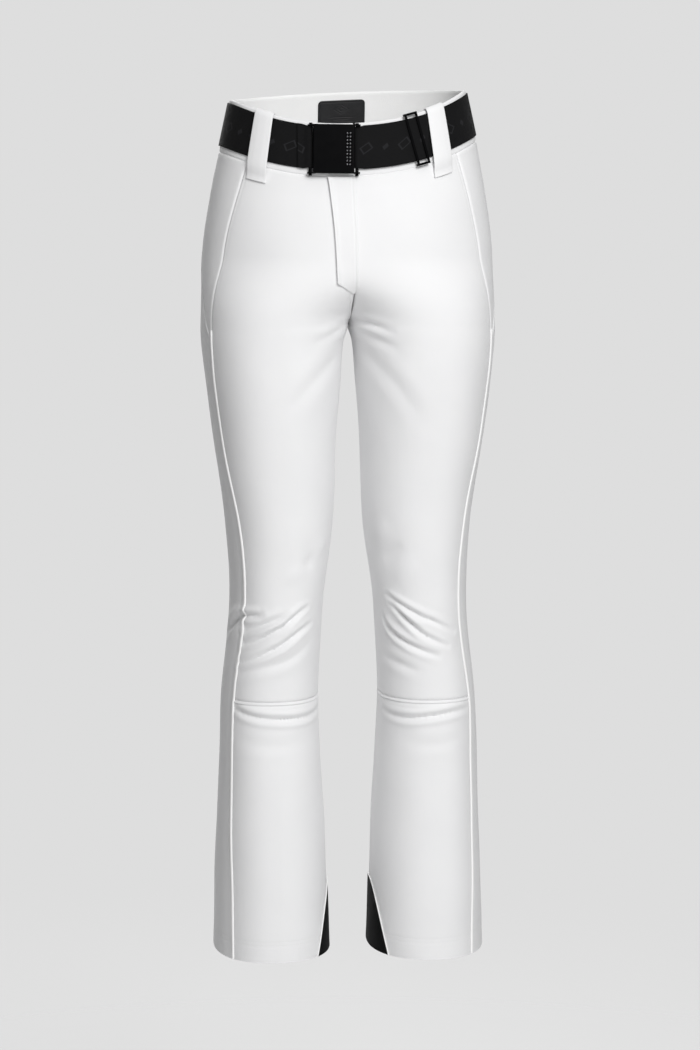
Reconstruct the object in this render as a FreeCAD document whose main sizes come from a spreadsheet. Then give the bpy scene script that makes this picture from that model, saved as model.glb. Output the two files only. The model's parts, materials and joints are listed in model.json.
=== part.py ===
import FreeCAD, Part
import Sketcher
import math
import os
from FreeCAD import Rotation, Vector

# Women's softshell ski pants with a webbing belt. Millimetres, +Z up.
# The origin is the centre of the waist opening, midway in height between its side edges.
# +X is the wearer's left, -Y is the front, and L and R are the wearer's sides.

SIDES = {"L": 1, "R": -1}

# Pattern table: each station of the garment has a level below the waist edge, the
# outer half width, half the gap between the legs, the depth in front of and behind
# the side line, and how far out across the leg the outseam lies, as a share.
STATIONS = (
    # name        level  outer   gap  front  back  seam
    ("waist",         0, 140.0,  0.0,    90,   88, 0.90),
    ("band",        -60, 153.0,  0.0,    97,   99, 0.90),
    ("high_hip",   -123, 165.0,  0.0,   104,  112, 0.90),
    ("hip",        -187, 173.5,  0.0,   108,  120, 0.90),
    ("crotch",     -270, 176.0,  0.0,   110,  117, 0.88),
    ("inner_thigh", -292, 175.4, 6.0,   109,  114, 0.88),
    ("thigh",      -338, 170.5,  9.6,   106,  106, 0.89),
    ("mid_thigh",  -411, 161.4, 15.7,    98,   94, 0.87),
    ("low_thigh",  -508, 147.5, 18.2,    88,   80, 0.79),
    ("knee",       -606, 143.7, 30.9,    82,   66, 0.73),
    ("knee_seam",  -716, 153.4, 36.4,    80,   72, 0.79),
    ("calf",       -803, 157.0, 33.5,    86,   88, 0.79),
    ("low_calf",   -903, 161.0, 28.0,    93,   96, 0.77),
    ("hem",       -1028, 165.0, 24.5,   100,  100, 0.71),
)
STATION_COLUMNS = ("level", "outer", "gap", "front", "back", "seam")

DIMENSIONS = (
    ("cloth_thick", 2.0, "bonded softshell cloth"),
    ("seam_gap", 0.1, "space left between two panels at a seam"),
    ("front_dip", 34, "how far the waist edge drops at the front"),
    ("back_rise", 5, "how far the waist edge rises at the back"),
    ("waist_lean", 6, "how much higher the worn waist sits on the wearer's left side"),
    ("band_depth", 60, "depth of the waistband"),
    ("roundness", 2.25, "exponent of the body sections, 2 is an ellipse"),
    ("facing_thick", 1.0, "lining of the waistband"),
    ("flap_thick", 1.4, "fly flap, scuff guard and belt loop cloth"),
    ("placket_bottom", -237, "level of the tip of the fly flap"),
    ("belt_width", 50, "elastic belt"),
    ("belt_thick", 1.8, "elastic belt"),
    ("belt_drop", 3, "from the waist edge down to the belt"),
    ("belt_trim", 1.6, "how much narrower the doubled stretches are on each edge"),
    ("bar_room", 2.4, "from a buckle bar to the straps that end beside it"),
    ("loop_width", 24, "belt loop"),
    ("loop_height", 4.3, "how far a belt loop stands off the waistband over the belt"),
    ("buckle_centre", -24, "the buckle sits off centre, towards the wearer's right"),
    ("buckle_drop", 1.6, "how far the buckle hangs below the belt's middle line"),
    ("plate_width", 48, "buckle plate"),
    ("plate_height", 57, "buckle plate"),
    ("plate_thick", 2.4, "buckle plate"),
    ("plate_fillet", 1.1, "rounding of the plate's front edge"),
    ("plate_lift", 6.2, "underside of the plate above the bar axis"),
    ("bar_radius", 2.0, "the buckle's two bars"),
    ("bar_length", 61, "the buckle's two bars"),
    ("bar_spacing", 54, "from bar to bar"),
    ("ear_length", 1.8, "hinge ears at the ends of the bar"),
    ("ear_start", 26.7, "from the middle of the bar out to a hinge ear"),
    ("ear_radius", 3.6, "hinge ears"),
    ("hinge_clearance", 0.05, "radial play of the ears on the bar"),
    ("stud_radius", 1.1, "domed studs on the plate"),
    ("stud_rows", 10, "studs in each column"),
    ("stud_pitch", 4.0, "from stud to stud along a column"),
    ("stud_column", 17.2, "from the middle of the plate to the pair of stud columns"),
    ("stud_split", 3.4, "from one column of studs to the other"),
    ("adjuster_wide", 16, "strap adjuster along the belt"),
    ("adjuster_tall", 62, "strap adjuster across the belt"),
    ("adjuster_bar", 2.6, "width of the adjuster's bars"),
    ("adjuster_thick", 1.8, "thickness of the adjuster"),
    ("adjuster_place", 72, "how far from the centre front the adjuster sits"),
    ("adjuster_travel", 24, "how far the adjuster can run towards the buckle"),
    ("label_wide", 58, "inner label patch"),
    ("label_tall", 31, "inner label patch"),
    ("tape_width", 11, "each half of a zip tape"),
    ("tape_thick", 0.6, "zip tape"),
    ("coil_width", 2.2, "each half of a zip coil"),
    ("coil_thick", 1.6, "zip coil"),
    ("coil_gap", 1.0, "the slider's web runs here"),
    ("web_thick", 0.4, "web of a zip slider"),
    ("slider_wide", 8.4, "zip slider"),
    ("slider_long", 10, "zip slider"),
    ("slider_plate", 1.0, "plates of a zip slider"),
    ("slider_play", 0.4, "slider plates to coil"),
    ("post_wide", 1.0, "posts that carry the pin of a zip pull"),
    ("post_long", 2.4, "posts that carry the pin of a zip pull"),
    ("post_tall", 3.2, "posts that carry the pin of a zip pull"),
    ("post_out", 2.4, "from the middle of the slider out to a post"),
    ("pin_radius", 0.6, "pin that carries a zip pull"),
    ("pin_long", 5.4, "pin that carries a zip pull"),
    ("pull_long", 20, "zip pull"),
    ("pull_wide", 7, "zip pull"),
    ("pull_thick", 1.2, "zip pull"),
    ("pull_hole", 1.25, "radius of the cord hole in a zip pull"),
    ("zip_stop", 3.0, "from the end of a chain to the nearest the slider comes"),
    ("zip_depth", 13, "from the outer cloth face in to a zip chain"),
    ("fly_zip_top", -75, "level of the top of the fly zip"),
    ("fly_zip_bottom", -222, "level of the bottom of the fly zip"),
    ("pocket_zip_top", -80, "level of the top of a pocket zip"),
    ("pocket_zip_bottom", -225, "level of the bottom of a pocket zip"),
    ("leg_zip_top", -745, "level of the top of a lower leg zip"),
    ("leg_zip_bottom", -1010, "level of the bottom of a lower leg zip"),
    ("pocket_bottom", -245, "level of the bottom of a pocket bag"),
    ("gaiter_top", -820, "inner snow gaiter"),
    ("gaiter_bottom", -1000, "inner snow gaiter"),
    ("gaiter_depth", 26, "from the leg's outer face in to the gaiter"),
    ("guard_top", -938, "top of the scuff guard on the inseam"),
    ("piping_width", 2.6, "piping along the outseam"),
    ("piping_lift", 1.0, "how proud the piping stands"),
    ("piping_gap", 0.3, "from the seam up to the piping"),
)


def add_sheet(doc):
    """Write every driving dimension into the spreadsheet and read them back."""
    sheet = doc.addObject("Spreadsheet::Sheet", "Sizes")
    entries = list(DIMENSIONS)
    for station in STATIONS:
        for column, value in zip(STATION_COLUMNS, station[1:]):
            entries.append((f"{station[0]}_{column}", value, f"pattern station {station[0]}"))
    for row, (alias, value, note) in enumerate(entries, start=1):
        sheet.set(f"A{row}", alias)
        sheet.set(f"B{row}", str(value))
        sheet.set(f"C{row}", note)
        sheet.setAlias(f"B{row}", alias)
    doc.recompute()
    return {alias: float(sheet.get(alias)) for alias, _, _ in entries}


doc = FreeCAD.newDocument("SkiPants")
size = add_sheet(doc)
nodes = {}


def keep(name, thing, placement=None):
    """Register a document object as the sub-part called name."""
    thing.Label = name
    if placement is not None:
        thing.Placement = placement
    nodes[name] = thing
    return thing


# ---------------------------------------------------------------- body form

def station_value(column, level):
    """Smooth value of one pattern column at a level, by cubic spans between stations."""
    stops = [(size[f"{row[0]}_level"], size[f"{row[0]}_{column}"]) for row in STATIONS]
    last = len(stops) - 1
    span = 0
    while span < last - 1 and level < stops[span + 1][0]:
        span += 1

    def slope(index):
        before = stops[max(index - 1, 0)]
        after = stops[min(index + 1, last)]
        return (after[1] - before[1]) / (after[0] - before[0])

    (z0, v0), (z1, v1) = stops[span], stops[span + 1]
    step = z1 - z0
    share = min(max((level - z0) / step, -0.2), 1.2)
    square, cube = share ** 2, share ** 3
    return ((2 * cube - 3 * square + 1) * v0 + (cube - 2 * square + share) * step * slope(span)
            + (3 * square - 2 * cube) * v1 + (cube - square) * step * slope(span + 1))


CROTCH = size["crotch_level"]
FORK = size["hip_level"]          # the level where the seat starts to divide into two legs


def divide(level):
    """0 where the body is one tube, growing smoothly to 1 at the crotch and below it."""
    share = min(max((FORK - level) / (FORK - CROTCH), 0.0), 1.0)
    return share * share * (3 - 2 * share)


def section(level):
    """Centre and half width, along X, of the closed section that a leg has at a level."""
    outer = station_value("outer", level)
    gap = max(station_value("gap", level), 0.0) if level < CROTCH else 0.0
    share = divide(level)
    half = (outer - gap) / (1 + share) if share < 1 else (outer - gap) / 2
    return outer - half, half


def power(value):
    return math.copysign(abs(value) ** (2 / size["roundness"]), value)


def inverse_power(value):
    value = min(max(value, -1.0), 1.0)
    return math.copysign(abs(value) ** (size["roundness"] / 2), value)


def form(side, level, angle):
    """Point of the outer body form. Angle 0 is the side of the hip, 90 the front,
    180 the inside of the leg, and negative angles run round the back."""
    centre, half = section(level)
    turn = math.radians(angle)
    depth = station_value("front" if angle >= 0 else "back", level)
    fade = min(max((level - size["hip_level"]) / (size["band_level"] - size["hip_level"]), 0.0), 1.0)
    fade = fade * fade * (3 - 2 * fade)
    x = side * (centre + half * power(math.cos(turn)))
    tilt = -size["front_dip"] if angle >= 0 else size["back_rise"]
    lean = size["waist_lean"] * x / size["waist_outer"]
    return Vector(x, -depth * power(math.sin(turn)),
                  level + fade * (tilt * math.sin(turn) ** 2 + lean))


def outward(side, level, angle):
    """Unit normal of the body form."""
    along = form(side, level, angle + 0.4) - form(side, level, angle - 0.4)
    up = form(side, level + 0.6, angle) - form(side, level - 0.6, angle)
    normal = up.cross(along)
    return normal.multiply(side / normal.Length)


def lifted(side, level, angle, lift):
    return form(side, level, angle) + outward(side, level, angle) * lift


def split_angle(level):
    """Angle of the centre seam: 90 on the belly, running down to 180 at the crotch."""
    return math.degrees(math.acos(inverse_power(-divide(level))))


def angle_at(x, level):
    """Angle of the front point that lies x away from the centre line."""
    centre, half = section(level)
    return math.degrees(math.acos(inverse_power((abs(x) - centre) / half)))


def leg_seam(level):
    """Angle of the outseam on the leg."""
    return math.degrees(math.acos(inverse_power(station_value("seam", level))))


def hip_line(level, top_angle, bend):
    """Angle of one edge of the hip side panel, which narrows to nothing at the fork."""
    end_level = CROTCH - 13
    share = min(max((level - end_level) / (size["band_level"] - end_level), 0.0), 1.0)
    return leg_seam(level) * (1 - share ** bend) + top_angle * share ** bend


def hip_front_edge(level):
    return hip_line(level, 38, 1.5)


def hip_back_edge(level):
    return hip_line(level, -34, 0.8) - 1.0


def levels(top, bottom, step=32):
    """Row levels of a panel, closer together where the legs divide."""
    count = max(int(round((top - bottom) / step)), 3)
    rows = [top + (bottom - top) * index / count for index in range(count + 1)]
    if bottom < CROTCH < top:
        rows = [row for row in rows if abs(row - CROTCH) > 28 or row in (top, bottom)]
        for away in (1.5, 5, 12, 22):
            rows += [CROTCH + away, CROTCH - away]
        rows.append(CROTCH)
    return sorted((row for row in rows if bottom <= row <= top), reverse=True)


# ---------------------------------------------------------------- cloth solids

def chord_shares(grid):
    """Parameter of each row of a grid, from 0 to 1, by the mean distance between rows."""
    steps = [0.0]
    for before, after in zip(grid, grid[1:]):
        steps.append(sum(a.distanceToPoint(b) for a, b in zip(before, after)) / len(before))
    total, reach, shares = sum(steps), 0.0, []
    for step in steps:
        reach += step
        shares.append(reach / total)
    return shares


def grid_surface(grid, row_shares, column_shares):
    """Smooth surface through a grid: each row is interpolated, and then its poles are."""
    rows = []
    for row in grid:
        curve = Part.BSplineCurve()
        curve.interpolate(Points=row, Parameters=column_shares)
        rows.append(curve)
    columns = []
    for poles in zip(*(curve.getPoles() for curve in rows)):
        curve = Part.BSplineCurve()
        curve.interpolate(Points=list(poles), Parameters=row_shares)
        columns.append(curve)
    surface = Part.BSplineSurface()
    surface.buildFromPolesMultsKnots(
        [curve.getPoles() for curve in columns],
        rows[0].getMultiplicities(), columns[0].getMultiplicities(),
        rows[0].getKnots(), columns[0].getKnots(), False, False,
        rows[0].Degree, columns[0].Degree)
    return surface


def cloth_solid(outer_grid, inner_grid):
    """Closed solid between two grids of points that share their layout."""
    row_shares = chord_shares(outer_grid)
    column_shares = chord_shares(list(zip(*outer_grid)))
    outer = grid_surface(outer_grid, row_shares, column_shares)
    inner = grid_surface(inner_grid, row_shares, column_shares)
    u0, u1, v0, v1 = outer.bounds()
    a0, a1, b0, b1 = inner.bounds()
    faces = [outer.toShape(), inner.toShape()]
    rims = ((outer.uIso(u0), inner.uIso(a0)), (outer.uIso(u1), inner.uIso(a1)),
            (outer.vIso(v0), inner.vIso(b0)), (outer.vIso(v1), inner.vIso(b1)))
    for rim, inner_rim in rims:
        wall = Part.BSplineSurface()
        wall.buildFromPolesMultsKnots(
            [rim.getPoles(), inner_rim.getPoles()], (2, 2), rim.getMultiplicities(),
            (0.0, 1.0), rim.getKnots(), False, False, 1, rim.Degree)
        faces.append(wall.toShape())
    shell = Part.makeCompound(faces)
    shell.sewShape(0.01)
    solid = Part.makeSolid(shell.Shells[0])
    if solid.Volume < 0:
        solid.reverse()
    return solid


def cloth(name, spots, lift, thick, placement=None):
    """Cloth piece over a grid of (side, level, angle) spots. The lift is a number, or a
    function of the row's share from top to bottom."""
    last = len(spots) - 1
    outer_grid, inner_grid = [], []
    for index, row in enumerate(spots):
        height = lift(index / last) if callable(lift) else lift
        outer_grid.append([lifted(*spot, height) for spot in row])
        inner_grid.append([lifted(*spot, height - thick) for spot in row])
    piece = doc.addObject("Part::Feature", name)
    piece.Shape = cloth_solid(outer_grid, inner_grid)
    return keep(name, piece, placement)


def panel(name, side, top, bottom, start, end, lift=0.0, thick=None, columns=11, step=32):
    """Cloth piece between two levels and two edges given as angles at each level."""
    spots = []
    inset = size["seam_gap"] / 2
    for level in levels(top - inset, bottom + inset, step):
        first, last = start(level), end(level)
        trim = math.degrees(inset / 80)
        first, last = first + trim, last - trim
        spots.append([(side, level, first + (last - first) * index / (columns - 1))
                      for index in range(columns)])
    return cloth(name, spots, lift, thick or size["cloth_thick"])


def fixed(angle):
    return lambda level: angle


BAND = size["band_level"]
KNEE_SEAM = size["knee_seam_level"]
HEM = size["hem_level"]
HIP_END = CROTCH - 13


def front_outer_edge(level):
    return hip_front_edge(level) if level > HIP_END else leg_seam(level)


def back_outer_edge(level):
    return hip_back_edge(level) if level > HIP_END else leg_seam(level) - 0.05


def back_split(level):
    return -split_angle(level)


def add_leg_panels(tag, side):
    panel(f"front_thigh_{tag}", side, BAND, KNEE_SEAM, front_outer_edge, split_angle)
    panel(f"front_lower_leg_{tag}", side, KNEE_SEAM, HEM, leg_seam, fixed(180))
    panel(f"back_leg_{tag}", side, BAND, HEM, back_split, back_outer_edge, columns=17)
    panel(f"hip_side_{tag}", side, BAND, HIP_END, hip_back_edge, hip_front_edge, columns=7)


def add_waistband():
    for tag, side in SIDES.items():
        panel(f"waistband_front_{tag}", side, 0, BAND, fixed(0), fixed(90), step=15)
    spots = []
    for level in levels(-0.05, BAND + 0.05, 15):
        left = [(1, level, -90 * index / 10) for index in range(11)]
        right = [(-1, level, -90 + 9 * index) for index in range(1, 11)]
        spots.append(left + right)
    cloth("waistband_back", spots, 0.0, size["cloth_thick"])


# Belt loop profile: level, and the share of the loop's height that it stands off there.
LOOP_PROFILE = ((-0.4, 0.35), (-1.2, 0.62), (-2.1, 0.98), (-3.2, 1.0), (-10, 1.0), (-22, 1.0), (-34, 1.0),
                (-46, 1.0), (-57, 1.0), (-61, 0.95), (-66, 0.72), (-71, 0.46), (-75, 0.36), (-78, 0.35))


def ring_spots(top, bottom, step, start_x, end_x):
    """Spots right round the waist, from start_x on the front by the wearer's right side,
    the back and the left side to end_x."""
    rows = []
    for level in levels(top, bottom, step):
        first, last = angle_at(start_x, level), angle_at(end_x, level)
        right = [(-1, level, first - (first + 90) * index / 14) for index in range(15)]
        left = [(1, level, -90 + (last + 90) * index / 14) for index in range(1, 15)]
        rows.append(right + left)
    return rows


def add_facing():
    spots = ring_spots(-1.5, BAND + 6, 15, -13, 13)
    cloth("waistband_facing", spots, -size["cloth_thick"] - 0.1, size["facing_thick"])


def flat_piece(name, top, bottom_of, left_of, right_of, lift, thick, rows=9, columns=7):
    """Front piece laid out by its distance from the centre line: left_of and right_of
    give its edges at a share from top to bottom, bottom_of its lower edge across."""
    outer_grid, inner_grid = [], []
    for row in range(rows):
        down = row / (rows - 1)
        outer_row, inner_row = [], []
        for column in range(columns):
            across = column / (columns - 1)
            x = left_of(down) + (right_of(down) - left_of(down)) * across
            level = top + (bottom_of(across) - top) * down
            side = 1 if x >= 0 else -1
            point = form(side, level, angle_at(x, level))
            outer_row.append(point + Vector(0, -lift, 0))
            inner_row.append(point + Vector(0, thick - lift, 0))
        outer_grid.append(outer_row)
        inner_grid.append(inner_row)
    piece = doc.addObject("Part::Feature", name)
    piece.Shape = cloth_solid(outer_grid, inner_grid)
    return keep(name, piece)


def add_fly():
    tip = size["placket_bottom"]
    flat_piece("fly_placket", BAND - 3,
               lambda across: tip + 16 - 16 * min(across / 0.8, 1.0) + 9 * max(across - 0.8, 0) / 0.2,
               lambda down: -31 + 10 * down ** 0.6, lambda down: 1 + 3 * down,
               size["flap_thick"] + 1.0, size["flap_thick"], columns=13)
    flat_piece("fly_underlap", BAND - 2, lambda across: tip + 4,
               lambda down: -20, lambda down: 24,
               -size["zip_depth"] - 9, size["facing_thick"])


def add_belt():
    drop, width = size["belt_drop"], size["belt_width"]
    start = size["buckle_centre"] - size["bar_spacing"] / 2
    end = size["buckle_centre"] + size["bar_spacing"] / 2
    thick = size["belt_thick"]
    gap = size["bar_radius"] + size["bar_room"]
    main = ring_spots(-drop, -drop - width, 18, start - gap, end + gap)
    cloth("belt_strap", main, 0.4 + thick, thick)
    trim = size["belt_trim"]
    flat_piece("belt_strap_return", -drop - trim, lambda across: -drop - width + trim,
               lambda down: end + gap, lambda down: size["adjuster_place"] + 14,
               0.9 + 2 * thick, thick, rows=4, columns=15)
    flat_piece("belt_strap_fold", -drop - trim, lambda across: -drop - width + trim,
               lambda down: start - gap - 14, lambda down: start - gap,
               0.9 + 2 * thick, thick, rows=4, columns=5)


def add_loop(name, row_of):
    """Belt loop: an upright strip, stitched down at the waist edge and below the belt.
    row_of gives the spots across it at a level."""
    outer_grid, inner_grid = [], []
    for level, share in LOOP_PROFILE:
        lift = size["loop_height"] * share
        outer_grid.append([lifted(*spot, lift) for spot in row_of(level)])
        inner_grid.append([lifted(*spot, lift - size["flap_thick"]) for spot in row_of(level)])
    piece = doc.addObject("Part::Feature", name)
    piece.Shape = cloth_solid(outer_grid, inner_grid)
    keep(name, piece)


def add_loops():
    quarter = math.degrees(size["loop_width"] / 4 / 125)
    for tag, side in SIDES.items():
        for place_name, centre in (("front", 50), ("back", -48)):
            add_loop(f"belt_loop_{place_name}_{tag}",
                     lambda level: [(side, level, centre + quarter * step) for step in range(-2, 3)])
    add_loop("belt_loop_centre_back",
             lambda level: [(1 if step < 0 else -1, level, -90 + abs(step) * quarter * 0.83)
                            for step in range(-2, 3)])


def add_label():
    half = size["label_wide"] / 2
    spots = []
    for row in range(4):
        level = -9 - size["label_tall"] * row / 3
        turn = 90 - angle_at(half, level)
        left = [(1, level, -90 + turn * (4 - index) / 4) for index in range(5)]
        right = [(-1, level, -90 + turn * index / 4) for index in range(1, 5)]
        spots.append(left + right)
    lift = -size["cloth_thick"] - size["facing_thick"] - 0.2
    cloth("label_patch", spots, lift, size["flap_thick"])


def add_piping(tag, side):
    half = math.degrees(size["piping_width"] / 2 / 85)
    panel(f"outseam_piping_{tag}", side, HIP_END, HEM, lambda level: leg_seam(level) - half,
          lambda level: leg_seam(level) + half, lift=size["piping_lift"] + size["piping_gap"],
          thick=size["piping_lift"], columns=3)


def add_pocket_bag(tag, side):
    panel(f"pocket_bag_{tag}", side, BAND - 12, size["pocket_bottom"],
          lambda level: hip_front_edge(level) + 2, lambda level: 74,
          lift=-size["zip_depth"] - 8, thick=size["cloth_thick"], columns=7)


def add_gaiter(tag, side):
    depth = size["gaiter_depth"]
    panel(f"gaiter_{tag}", side, size["gaiter_top"], size["gaiter_bottom"],
          fixed(-178), fixed(178), lift=-depth, thick=size["facing_thick"], columns=37)
    panel(f"gaiter_elastic_{tag}", side, size["gaiter_bottom"] + 24, size["gaiter_bottom"],
          fixed(-178), fixed(178), lift=-depth - size["facing_thick"] - 0.1,
          thick=size["flap_thick"], columns=37, step=8)


def add_scuff_guard(tag, side):
    """Wedge of abrasion cloth on the inside of the hem, with its tip upwards."""
    spots = []
    top = size["guard_top"]
    for row in range(7):
        share = row / 6
        level = top + (HEM + 1 - top) * share
        front = 180 - 4 - 36 * share ** 0.7
        back = 180 + 4 + 36 * share ** 0.7
        spots.append([(side, level, spread_angle(front + (back - front) * column / 8))
                      for column in range(9)])
    cloth(f"scuff_guard_{tag}", spots, size["flap_thick"] + 0.1, size["flap_thick"])


def spread_angle(angle):
    """Angles past the inside of the leg carry on round the back as negative angles."""
    return angle if angle <= 180 else angle - 360


# ---------------------------------------------------------------- hardware helpers

def bound(kind, name, **cells):
    """Part primitive whose properties are bound to spreadsheet formulas."""
    piece = doc.addObject(kind, name)
    for key, formula in cells.items():
        piece.setExpression(key, formula)
    return piece


def place(piece, x=0, y=0, z=0, rotation=None):
    piece.Placement = FreeCAD.Placement(Vector(x, y, z), rotation or Rotation())
    return piece


def centred_box(name, length, width, height, z_low, x_mid=0, y_mid=0):
    """Box centred in X and Y; its sizes are formulas, its place is in numbers."""
    piece = bound("Part::Box", name, Length=length, Width=width, Height=height)
    doc.recompute()
    return place(piece, x_mid - piece.Length.Value / 2, y_mid - piece.Width.Value / 2, z_low)


def fuse(name, pieces):
    joined = doc.addObject("Part::MultiFuse", name)
    joined.Shapes = pieces
    return joined


def cut(name, base, tool):
    result = doc.addObject("Part::Cut", name)
    result.Base = base
    result.Tool = tool
    return result


def frame_at(origin, along, outside):
    """Placement with local Y along a direction and local Z pointing out of the cloth."""
    y_axis = Vector(along).normalize()
    z_axis = Vector(outside) - y_axis * Vector(outside).dot(y_axis)
    z_axis.normalize()
    x_axis = y_axis.cross(z_axis)
    return FreeCAD.Placement(origin, Rotation(x_axis, y_axis, z_axis, "ZXY"))


def front_point(x, level, lift=0.0):
    side = 1 if x >= 0 else -1
    return lifted(side, level, angle_at(x, level), lift)


# ---------------------------------------------------------------- buckle and adjuster

def plate_body():
    """Buckle plate as a padded sketch with a rounded front edge."""
    body = doc.addObject("PartDesign::Body", "PlateBody")
    sketch = body.newObject("Sketcher::SketchObject", "PlateOutline")
    plane = [item for item in body.Origin.OriginFeatures if item.Role == "XY_Plane"][0]
    sketch.AttachmentSupport = [(plane, "")]
    sketch.MapMode = "FlatFace"
    wide, tall = size["plate_width"] / 2, size["plate_height"] / 2
    corners = [Vector(-wide, -tall, 0), Vector(wide, -tall, 0),
               Vector(wide, tall, 0), Vector(-wide, tall, 0)]
    for index in range(4):
        sketch.addGeometry(Part.LineSegment(corners[index], corners[(index + 1) % 4]), False)
    for index in range(4):
        sketch.addConstraint(Sketcher.Constraint("Coincident", index, 2, (index + 1) % 4, 1))
    for index in (0, 2):
        sketch.addConstraint(Sketcher.Constraint("Horizontal", index))
    for index in (1, 3):
        sketch.addConstraint(Sketcher.Constraint("Vertical", index))
    sketch.addConstraint(Sketcher.Constraint("Symmetric", 0, 1, 2, 1, -1, 1))
    across = sketch.addConstraint(Sketcher.Constraint("DistanceX", 0, 1, 0, 2, 2 * wide))
    upright = sketch.addConstraint(Sketcher.Constraint("DistanceY", 1, 1, 1, 2, 2 * tall))
    sketch.setExpression(f"Constraints[{across}]", "Sizes.plate_width")
    sketch.setExpression(f"Constraints[{upright}]", "Sizes.plate_height")
    pad = body.newObject("PartDesign::Pad", "PlatePad")
    pad.Profile = sketch
    pad.setExpression("Length", "Sizes.plate_thick")
    doc.recompute()
    edges = [f"Edge{number}" for number, edge in enumerate(pad.Shape.Edges, start=1)
             if min(vertex.Z for vertex in edge.Vertexes) > size["plate_thick"] - 0.01]
    rounded = body.newObject("PartDesign::Fillet", "PlateRound")
    rounded.Base = (pad, edges)
    rounded.setExpression("Radius", "Sizes.plate_fillet")
    body.Tip = rounded
    doc.recompute()
    return body


def belt_frame(x, reach, drop=0):
    """Frame on the middle line of the belt, or a drop below it: local X runs along the
    belt, local Z points out."""
    middle = -size["belt_drop"] - size["belt_width"] / 2 - drop
    along = front_point(x + reach, middle) - front_point(x - reach, middle)
    rise = front_point(x, middle + reach) - front_point(x, middle - reach)
    normal = along.cross(rise)
    return frame_at(front_point(x, middle), normal.cross(along), normal)


def buckle_frame():
    """Local X runs across the buckle, local Y up along its bars."""
    x = size["buckle_centre"]
    frame = belt_frame(x, 20, size["buckle_drop"])
    lift = size["bar_radius"] + 1.0
    frame.Base = frame.Base + frame.Rotation.multVec(Vector(0, 0, lift))
    return frame


def upright_cylinder(name, radius, length, x, y_low, z=0):
    """Cylinder along local Y."""
    piece = bound("Part::Cylinder", name, Radius=radius, Height=length)
    return place(piece, x, y_low, z, Rotation(Vector(1, 0, 0), -90))


def add_buckle(frame):
    half_bars = size["bar_spacing"] / 2
    bar_low = -size["bar_length"] / 2
    for name, x in (("buckle_hinge_bar", -half_bars), ("buckle_catch_bar", half_bars)):
        bar = upright_cylinder(name, "Sizes.bar_radius", "Sizes.bar_length", x, bar_low)
        keep(name, bar, frame.multiply(bar.Placement))
    parts = [place(plate_body(), 0, 0, size["plate_lift"])]
    start = size["ear_start"]
    for number, y_low in enumerate((-start - size["ear_length"], start)):
        parts.append(upright_cylinder(f"Ear{number}", "Sizes.ear_radius", "Sizes.ear_length",
                                      -half_bars, y_low))
        arm = bound("Part::Box", f"Arm{number}", Length="Sizes.ear_radius * 2",
                    Width="Sizes.ear_length", Height="Sizes.plate_lift + Sizes.plate_thick / 2")
        parts.append(place(arm, -half_bars - size["ear_radius"] * 0.3, y_low, 0))
        hook = bound("Part::Box", f"Hook{number}", Length="Sizes.ear_radius * 2",
                     Width="Sizes.ear_length", Height="Sizes.plate_lift + Sizes.plate_thick / 2 + 1")
        parts.append(place(hook, half_bars - size["ear_radius"], y_low, -1))
    solid = fuse("PlateWithEars", parts)
    bore = upright_cylinder("HingeBore", "Sizes.bar_radius + Sizes.hinge_clearance",
                            "Sizes.bar_length + 10", -half_bars, bar_low - 5)
    bored = cut("PlateBored", solid, bore)
    slot_width = 2 * size["bar_radius"] + 0.8
    slot = bound("Part::Box", "CatchSlot", Length="Sizes.bar_radius * 2 + 0.8",
                 Width="Sizes.bar_length + 10", Height="Sizes.bar_radius + 3")
    place(slot, half_bars - slot_width / 2, bar_low - 5, -2.6)
    plate = cut("BucklePlateCut", bored, slot)
    keep("buckle_plate", plate, frame.multiply(plate.Placement))
    studs = []
    top = size["plate_lift"] + size["plate_thick"]
    count = int(size["stud_rows"])
    for column, across in enumerate((-0.5, 0.5)):
        x = size["stud_column"] + across * size["stud_split"]
        for row in range(count):
            stud = bound("Part::Sphere", f"Stud{column}{row}", Radius="Sizes.stud_radius")
            studs.append(place(stud, x, (row - (count - 1) / 2) * size["stud_pitch"], top))
    block = centred_box("StudTrim", "Sizes.plate_width", "Sizes.plate_height", "Sizes.stud_radius * 2",
                        top - 2 * size["stud_radius"])
    group = doc.addObject("Part::Compound", "StudGroup")
    group.Links = studs
    domes = cut("StudDomes", group, block)
    keep("buckle_studs", domes, frame.multiply(domes.Placement))


def add_adjuster():
    """Rectangular strap adjuster that rides over the doubled belt."""
    frame = belt_frame(size["adjuster_place"], 8)
    wide, tall, bar = size["adjuster_wide"], size["adjuster_tall"], size["adjuster_bar"]
    face = 2 * size["belt_thick"] + 1.7
    parts = []
    for number, across in enumerate((-1, 1)):
        parts.append(centred_box(f"AdjusterBar{number}", "Sizes.adjuster_bar", "Sizes.adjuster_tall",
                                 "Sizes.adjuster_thick", face, across * (wide - bar) / 2))
        rail = centred_box(f"AdjusterRail{number}", "Sizes.adjuster_wide", "Sizes.adjuster_bar",
                           "Sizes.adjuster_thick + 3.4", face - 3.4, 0, across * (tall - bar) / 2)
        parts.append(rail)
    adjuster = fuse("AdjusterFrame", parts)
    keep("belt_adjuster", adjuster, frame)
    middle = -size["belt_drop"] - size["belt_width"] / 2
    stops = [front_point(size["adjuster_place"] - size["adjuster_travel"] * share, middle)
             for share in (0, 0.5, 1)]
    arc = Part.Arc(*stops).toShape().Curve
    return {"pivot": arc.Center, "hinge": arc.Axis, "radius": arc.Radius,
            "sweep_deg": math.degrees(size["adjuster_travel"] / arc.Radius)}


# ---------------------------------------------------------------- zips

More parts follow.
